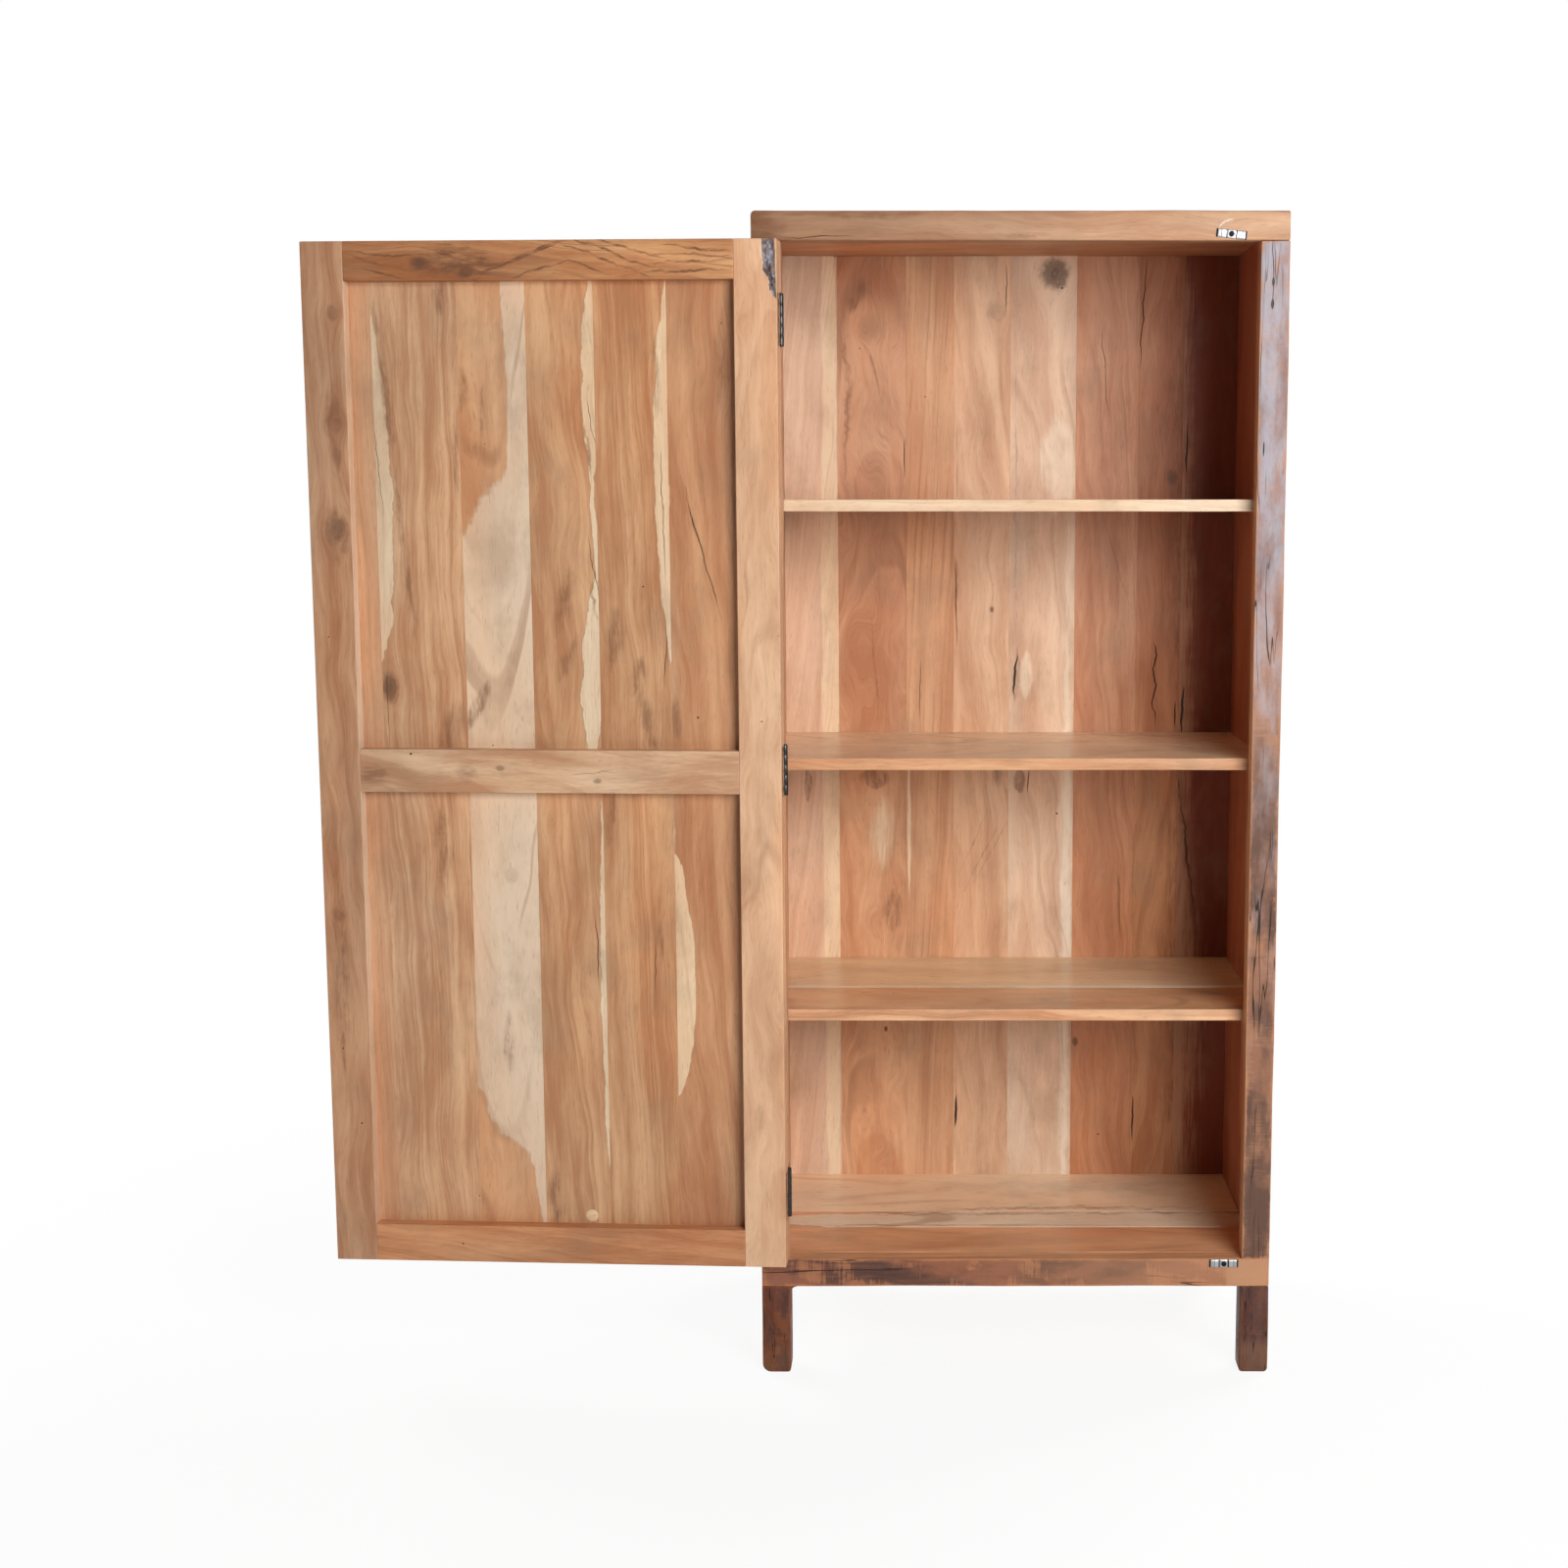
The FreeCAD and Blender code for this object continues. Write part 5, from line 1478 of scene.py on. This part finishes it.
def loose_boxes(node, turn):
    """Lowest and highest corner of each loose part of a node, lowest part first."""
    mesh = bmesh.new()
    mesh.from_mesh(frame["nodes"][node].data)
    bmesh.ops.remove_doubles(mesh, verts=mesh.verts, dist=SAME_POINT)
    waiting = set(mesh.verts)
    boxes = []
    while waiting:
        reached = [waiting.pop()]
        for vertex in reached:
            for edge in vertex.link_edges:
                other = edge.other_vert(vertex)
                if other in waiting:
                    waiting.remove(other)
                    reached.append(other)
        boxes.append(box_of([turn @ vertex.co for vertex in reached]))
    mesh.free()
    return sorted(boxes, key=lambda box: box[0].z)


# Sizes of the screws' heads and of the hinges' edges; a leaf's screw has a radius, a reach and a dome
HEAD_DEPTH = 0.0016
SLOT_DEPTH = 0.0014
HINGE_ARRIS = 0.0006
LEAF_SCREW = (0.0034, 0.018, 0.0001)


def make_screw(radius, reach, dome):
    """Model one screw at the origin, its slotted head up, and return it."""
    bpy.ops.object.select_all(action="DESELECT")
    bpy.ops.mesh.primitive_cone_add(
        vertices=32, radius1=radius * 0.45, radius2=radius, depth=HEAD_DEPTH,
        location=(0, 0, -HEAD_DEPTH / 2),
    )
    screw = bpy.context.object
    apply_place()
    inset_faces(screw, UP, ((0.0006, dome * 0.6), (radius * 0.4, dome * 0.4)))
    inset_faces(screw, DOWN, ((0.0001, reach),))
    bpy.ops.mesh.primitive_cube_add(size=1, location=(0, 0, dome))
    cutter = bpy.context.object
    cutter.scale = (radius * 3, radius * 0.28, SLOT_DEPTH)
    apply_place()
    select_only(screw)
    apply_modifier(screw, "BOOLEAN", object=cutter, operation="DIFFERENCE", solver="EXACT")
    bpy.data.objects.remove(cutter)
    smooth(35)
    return screw


def make_screws(node, heads, radius, reach, dome, slot, material):
    """Put a screw at each head, given as its place and turn, and join them into one piece."""
    copies = []
    for place in heads:
        screw = make_screw(radius, reach, dome)
        screw.matrix_world = place
        copies.append(screw)
    select_only(*copies)
    apply_place()
    bpy.ops.object.join()
    screws = bpy.context.object
    screws.name = piece_name(node)
    screws.data.name = screws.name
    screws.data.materials.append(material)
    hand_over(screws, node)


class CUPBOARD_OT_hinges(bpy.types.Operator):
    """Make the leaves, pins and screws of the three hinges"""
    bl_idname = "cupboard.hinges"
    bl_label = "Hinges"

    def execute(self, context):
        steel = context.scene.cupboard_steel
        finish = steel_material("hinge steel", steel.hinge, steel.bare, -0.16, 0.14)
        for node in sorted(frame["nodes"]):
            if node.endswith("hinge_leaf") or node == "hinge_pins":
                piece = eased_copy(node, HINGE_ARRIS)
                piece.data.materials.append(finish)
                hand_over(piece, node)
        screw_finish = steel_material("leaf screw steel", steel.screw, steel.bare, -0.05, 0.30)
        facing_right = Matrix.Rotation(math.pi / 2, 4, "Y")
        frame_heads = [
            Matrix.Translation((high.x, (low.y + high.y) / 2, (low.z + high.z) / 2)) @ facing_right
            for low, high in loose_boxes("frame_leaf_screws", Matrix())
        ]
        door_heads = [
            OPEN_DOOR @ Matrix.Translation((low.x, (low.y + high.y) / 2, (low.z + high.z) / 2))
            @ facing_right.inverted() for low, high in loose_boxes("door_leaf_screws", SHUT_DOOR)
        ]
        for node, heads in (("frame_leaf_screws", frame_heads), ("door_leaf_screws", door_heads)):
            make_screws(node, heads, *LEAF_SCREW, "hinge_steel", screw_finish)
        return {"FINISHED"}


# Where a turn button is cut across, as shares of its half length, and along, as shares of its height
BUTTON_CUTS = (
    0.0, 0.24, 0.27, 0.29, 0.33, 0.36, 0.39, 0.42, 0.48, 0.56, 0.63, 0.66, 0.74, 0.77, 0.84, 0.89, 0.94,
)
RIM_CUTS = (-0.44, -0.3, 0.0, 0.3, 0.44)
BUTTON_STEPS = ((0.26, 0.0019), (0.34, 0.0007), (0.40, 0.0022))
BUTTON_PLATE = 0.0008
BUTTON_SCREW_REACH = 0.020
BUTTON_SCREW_DOME = 0.0010
BUTTON_FACE = Vector((0, -0.0031, 0))


def button_rise(share):
    """How far a turn button stands out, by the share of its half length from its middle."""
    for end, rise in BUTTON_STEPS:
        if share < end:
            return rise
    if share < 0.90:
        ridge = abs(share - 0.65) / 0.25
        groove = 0.0005 if abs(share - 0.70) < 0.045 else 0.0
        return 0.0027 - 0.0006 * ridge * ridge - groove
    return 0.0008


class CUPBOARD_OT_turn_buttons(bpy.types.Operator):
    """Press the two turn buttons and make their screws"""
    bl_idname = "cupboard.turn_buttons"
    bl_label = "Turn Buttons"

    def execute(self, context):
        steel = context.scene.cupboard_steel
        bright = steel_material("zinc plate", steel.zinc, steel.bare, -0.05, 0.26)
        # This dark steel also serves as painted shade on the buttons' grooves, tips and steep sides.
        dark = steel_material("dark steel", steel.screw, steel.bare, -0.20, 0.50)
        heads = []
        for joint in frame["joints"]:
            if "button" in joint["name"]:
                pivot = Vector(joint["pos_m"])
                top = joint["name"].startswith("top")
                tilt = steel.button_tilt if top else 0.0
                place = Matrix.Translation(pivot) @ Matrix.Rotation(tilt, 4, "Y")
                node = "top_turn_button" if top else "bottom_turn_button"
                self.press(node, place, steel, (bright, dark))
                face = Matrix.Translation(pivot + BUTTON_FACE)
                turn = Matrix.Rotation(math.radians(35 if top else -20), 4, "Y")
                heads.append(face @ turn @ Matrix.Rotation(math.pi / 2, 4, "X"))
        sizes = (steel.screw_radius, BUTTON_SCREW_REACH, BUTTON_SCREW_DOME)
        make_screws("button_screws", heads, *sizes, "button_steel", dark)
        return {"FINISHED"}

    def press(self, node, place, steel, finishes):
        """Model one turn button as a strip pressed into a flat middle and two ribbed wings."""
        half = steel.button_length / 2
        low = Vector((-half, -0.002, -steel.button_height / 2))
        high = Vector((half, 0, steel.button_height / 2))
        button = start_board(node, low, high)
        slice_board(button, 0, sorted({half * share * side for share in BUTTON_CUTS for side in (-1, 1)}))
        slice_board(button, 2, [steel.button_height * share for share in RIM_CUTS])
        for vertex in button.data.vertices:
            rim = abs(vertex.co.z) / (steel.button_height / 2)
            rise = button_rise(abs(vertex.co.x) / half) * (1 - 0.35 * rim ** 8)
            outer = vertex.co.y < -0.001
            vertex.co.y = -rise if outer else min(-NEAR, BUTTON_PLATE - rise)
        ease_edges(button, 0.0003, 35)
        smooth(35)
        for finish in finishes:
            button.data.materials.append(finish)
        # Faces in the groove beside the middle plate, at the tips and on the steep sides take the dark steel:
        # partly painted shade in these hollows and ends, partly dark grime.
        for face in button.data.polygons:
            share = abs(face.center.x) / half
            groove = 0.285 < share < 0.365 or share > 0.93
            face.material_index = int(groove or abs(face.normal.x) > 0.45)
        settle(button, place)
        hand_over(button, node)


# Aim and size of the lamps behind, the floor's width and the camera's width of film in millimetres
FILL_AIM = (0, 0.1, 1.0)
FILL_SIZE = (2.0, 2.0)
FLOOR_WIDTH = 40
SENSOR_WIDTH = 36


class CUPBOARD_OT_stage(bpy.types.Operator):
    """Set up the camera, the lamps, the white surroundings and the pale floor"""
    bl_idname = "cupboard.stage"
    bl_label = "Studio"

    def execute(self, context):
        stage = context.scene.cupboard_stage
        context.scene.view_settings.view_transform = "Standard"
        self.add_camera(context, stage)
        self.add_lamp("key lamp", stage.key_place, stage.key_aim, stage.key_size, stage.key_power)
        right = Vector(stage.fill_place)
        left = Vector((-right.x, right.y, right.z))
        for name, place in (("right fill lamp", right), ("left fill lamp", left)):
            self.add_lamp(name, place, FILL_AIM, FILL_SIZE, stage.fill_power)
        self.add_floor(stage)
        self.set_world(context, stage)
        return {"FINISHED"}

    def add_camera(self, context, stage):
        bpy.ops.object.camera_add(
            location=stage.camera_place, rotation=(math.pi / 2 - stage.camera_pitch, 0, 0),
        )
        camera = context.object
        camera.data.sensor_width = SENSOR_WIDTH
        camera.data.lens = stage.camera_lens
        camera.data.shift_x, camera.data.shift_y = stage.camera_shift
        context.scene.camera = camera

    def add_lamp(self, name, place, aim, size, power):
        bpy.ops.object.light_add(type="AREA", location=place)
        lamp = bpy.context.object
        lamp.name = name
        lamp.rotation_euler = (Vector(aim) - Vector(place)).to_track_quat("-Z", "Y").to_euler()
        lamp.data.shape = "RECTANGLE"
        lamp.data.size, lamp.data.size_y = size
        lamp.data.energy = power
        lamp.visible_camera = False

    def seen_rays(self, steps):
        """1 for rays that should meet white: from the camera, a gloss or through glass."""
        rays = steps.outputs(steps.add("ShaderNodeLightPath"))
        seen = steps.math("MAXIMUM", rays["Is Camera Ray"], rays["Is Glossy Ray"])
        return steps.math("MAXIMUM", seen, rays["Is Transmission Ray"])

    def blend(self, steps, share, first, second, end):
        """End a node tree with two shaders, the second by its share."""
        node = steps.add("ShaderNodeMixShader")
        shaders = {0: share, 1: Value(steps, first.outputs[0]), 2: Value(steps, second.outputs[0])}
        steps.join(steps.feed(node, shaders), steps.tree.nodes[end].inputs["Surface"])

    def add_floor(self, stage):
        bpy.ops.mesh.primitive_plane_add(size=FLOOR_WIDTH, location=(0, 0, 0))
        floor = bpy.context.object
        floor.name = "floor"
        material, steps, shader = new_material("pale floor")
        pale = {"Base Color": colour(stage.floor_colour), "Roughness": 0.9, "Specular IOR Level": 0.0}
        steps.feed(shader, pale)
        measure = steps.add("ShaderNodeVectorMath", operation="LENGTH")
        away = steps.feed(measure, {0: steps.object_place()}, "Value")
        white = steps.ramp(away, 0.7, 2.0) * 0.10 + 0.90
        glow = steps.add("ShaderNodeEmission")
        self.blend(steps, self.seen_rays(steps) * white, shader, glow, "Material Output")
        floor.data.materials.append(material)

    def set_world(self, context, stage):
        world = bpy.data.worlds.new("white surroundings")
        context.scene.world = world
        world.use_nodes = True
        steps = Steps(world.node_tree)
        light = world.node_tree.nodes["Background"]
        white = steps.add("ShaderNodeBackground")
        for node, strength in ((light, stage.ambient), (white, 1.0)):
            steps.feed(node, {"Color": (1, 1, 1, 1), "Strength": strength})
        self.blend(steps, self.seen_rays(steps), light, white, "World Output")


OPERATORS = (
    CUPBOARD_OT_front_frame,
    CUPBOARD_OT_legs,
    CUPBOARD_OT_side_boards,
    CUPBOARD_OT_flat_boards,
    CUPBOARD_OT_back_boards,
    CUPBOARD_OT_door_frame,
    CUPBOARD_OT_door_panel,
    CUPBOARD_OT_hinges,
    CUPBOARD_OT_turn_buttons,
    CUPBOARD_OT_stage,
)


class CUPBOARD_PT_panel(bpy.types.Panel):
    """Lists the cupboard's colours, sizes and pieces in the sidebar"""
    bl_idname = "CUPBOARD_PT_panel"
    bl_label = "Cupboard"
    bl_space_type = "VIEW_3D"
    bl_region_type = "UI"
    bl_category = "Cupboard"

    def draw(self, context):
        scene = context.scene
        for settings in (scene.cupboard_wood, scene.cupboard_steel, scene.cupboard_stage):
            box = self.layout.box()
            for name in settings.bl_rna.properties.keys():
                if name not in ("rna_type", "name"):
                    box.prop(settings, name)
        for operator in OPERATORS:
            self.layout.operator(operator.bl_idname)


SETTINGS = {
    "cupboard_wood": CupboardWood,
    "cupboard_steel": CupboardSteel,
    "cupboard_stage": CupboardStage,
}


def register():
    for settings in SETTINGS.values():
        bpy.utils.register_class(settings)
    for operator in OPERATORS:
        bpy.utils.register_class(operator)
    bpy.utils.register_class(CUPBOARD_PT_panel)
    for name, settings in SETTINGS.items():
        setattr(bpy.types.Scene, name, PointerProperty(type=settings))


def unregister():
    for name in SETTINGS:
        delattr(bpy.types.Scene, name)
    bpy.utils.unregister_class(CUPBOARD_PT_panel)
    for operator in reversed(OPERATORS):
        bpy.utils.unregister_class(operator)
    for settings in reversed(SETTINGS.values()):
        bpy.utils.unregister_class(settings)


def main():
    register()
    make_node_groups()
    bpy.ops.cupboard.front_frame()
    bpy.ops.cupboard.legs()
    bpy.ops.cupboard.side_boards()
    bpy.ops.cupboard.flat_boards()
    bpy.ops.cupboard.back_boards()
    bpy.ops.cupboard.door_frame()
    bpy.ops.cupboard.door_panel()
    bpy.ops.cupboard.hinges()
    bpy.ops.cupboard.turn_buttons()
    bpy.ops.cupboard.stage()


if __name__ == "__main__":
    main()
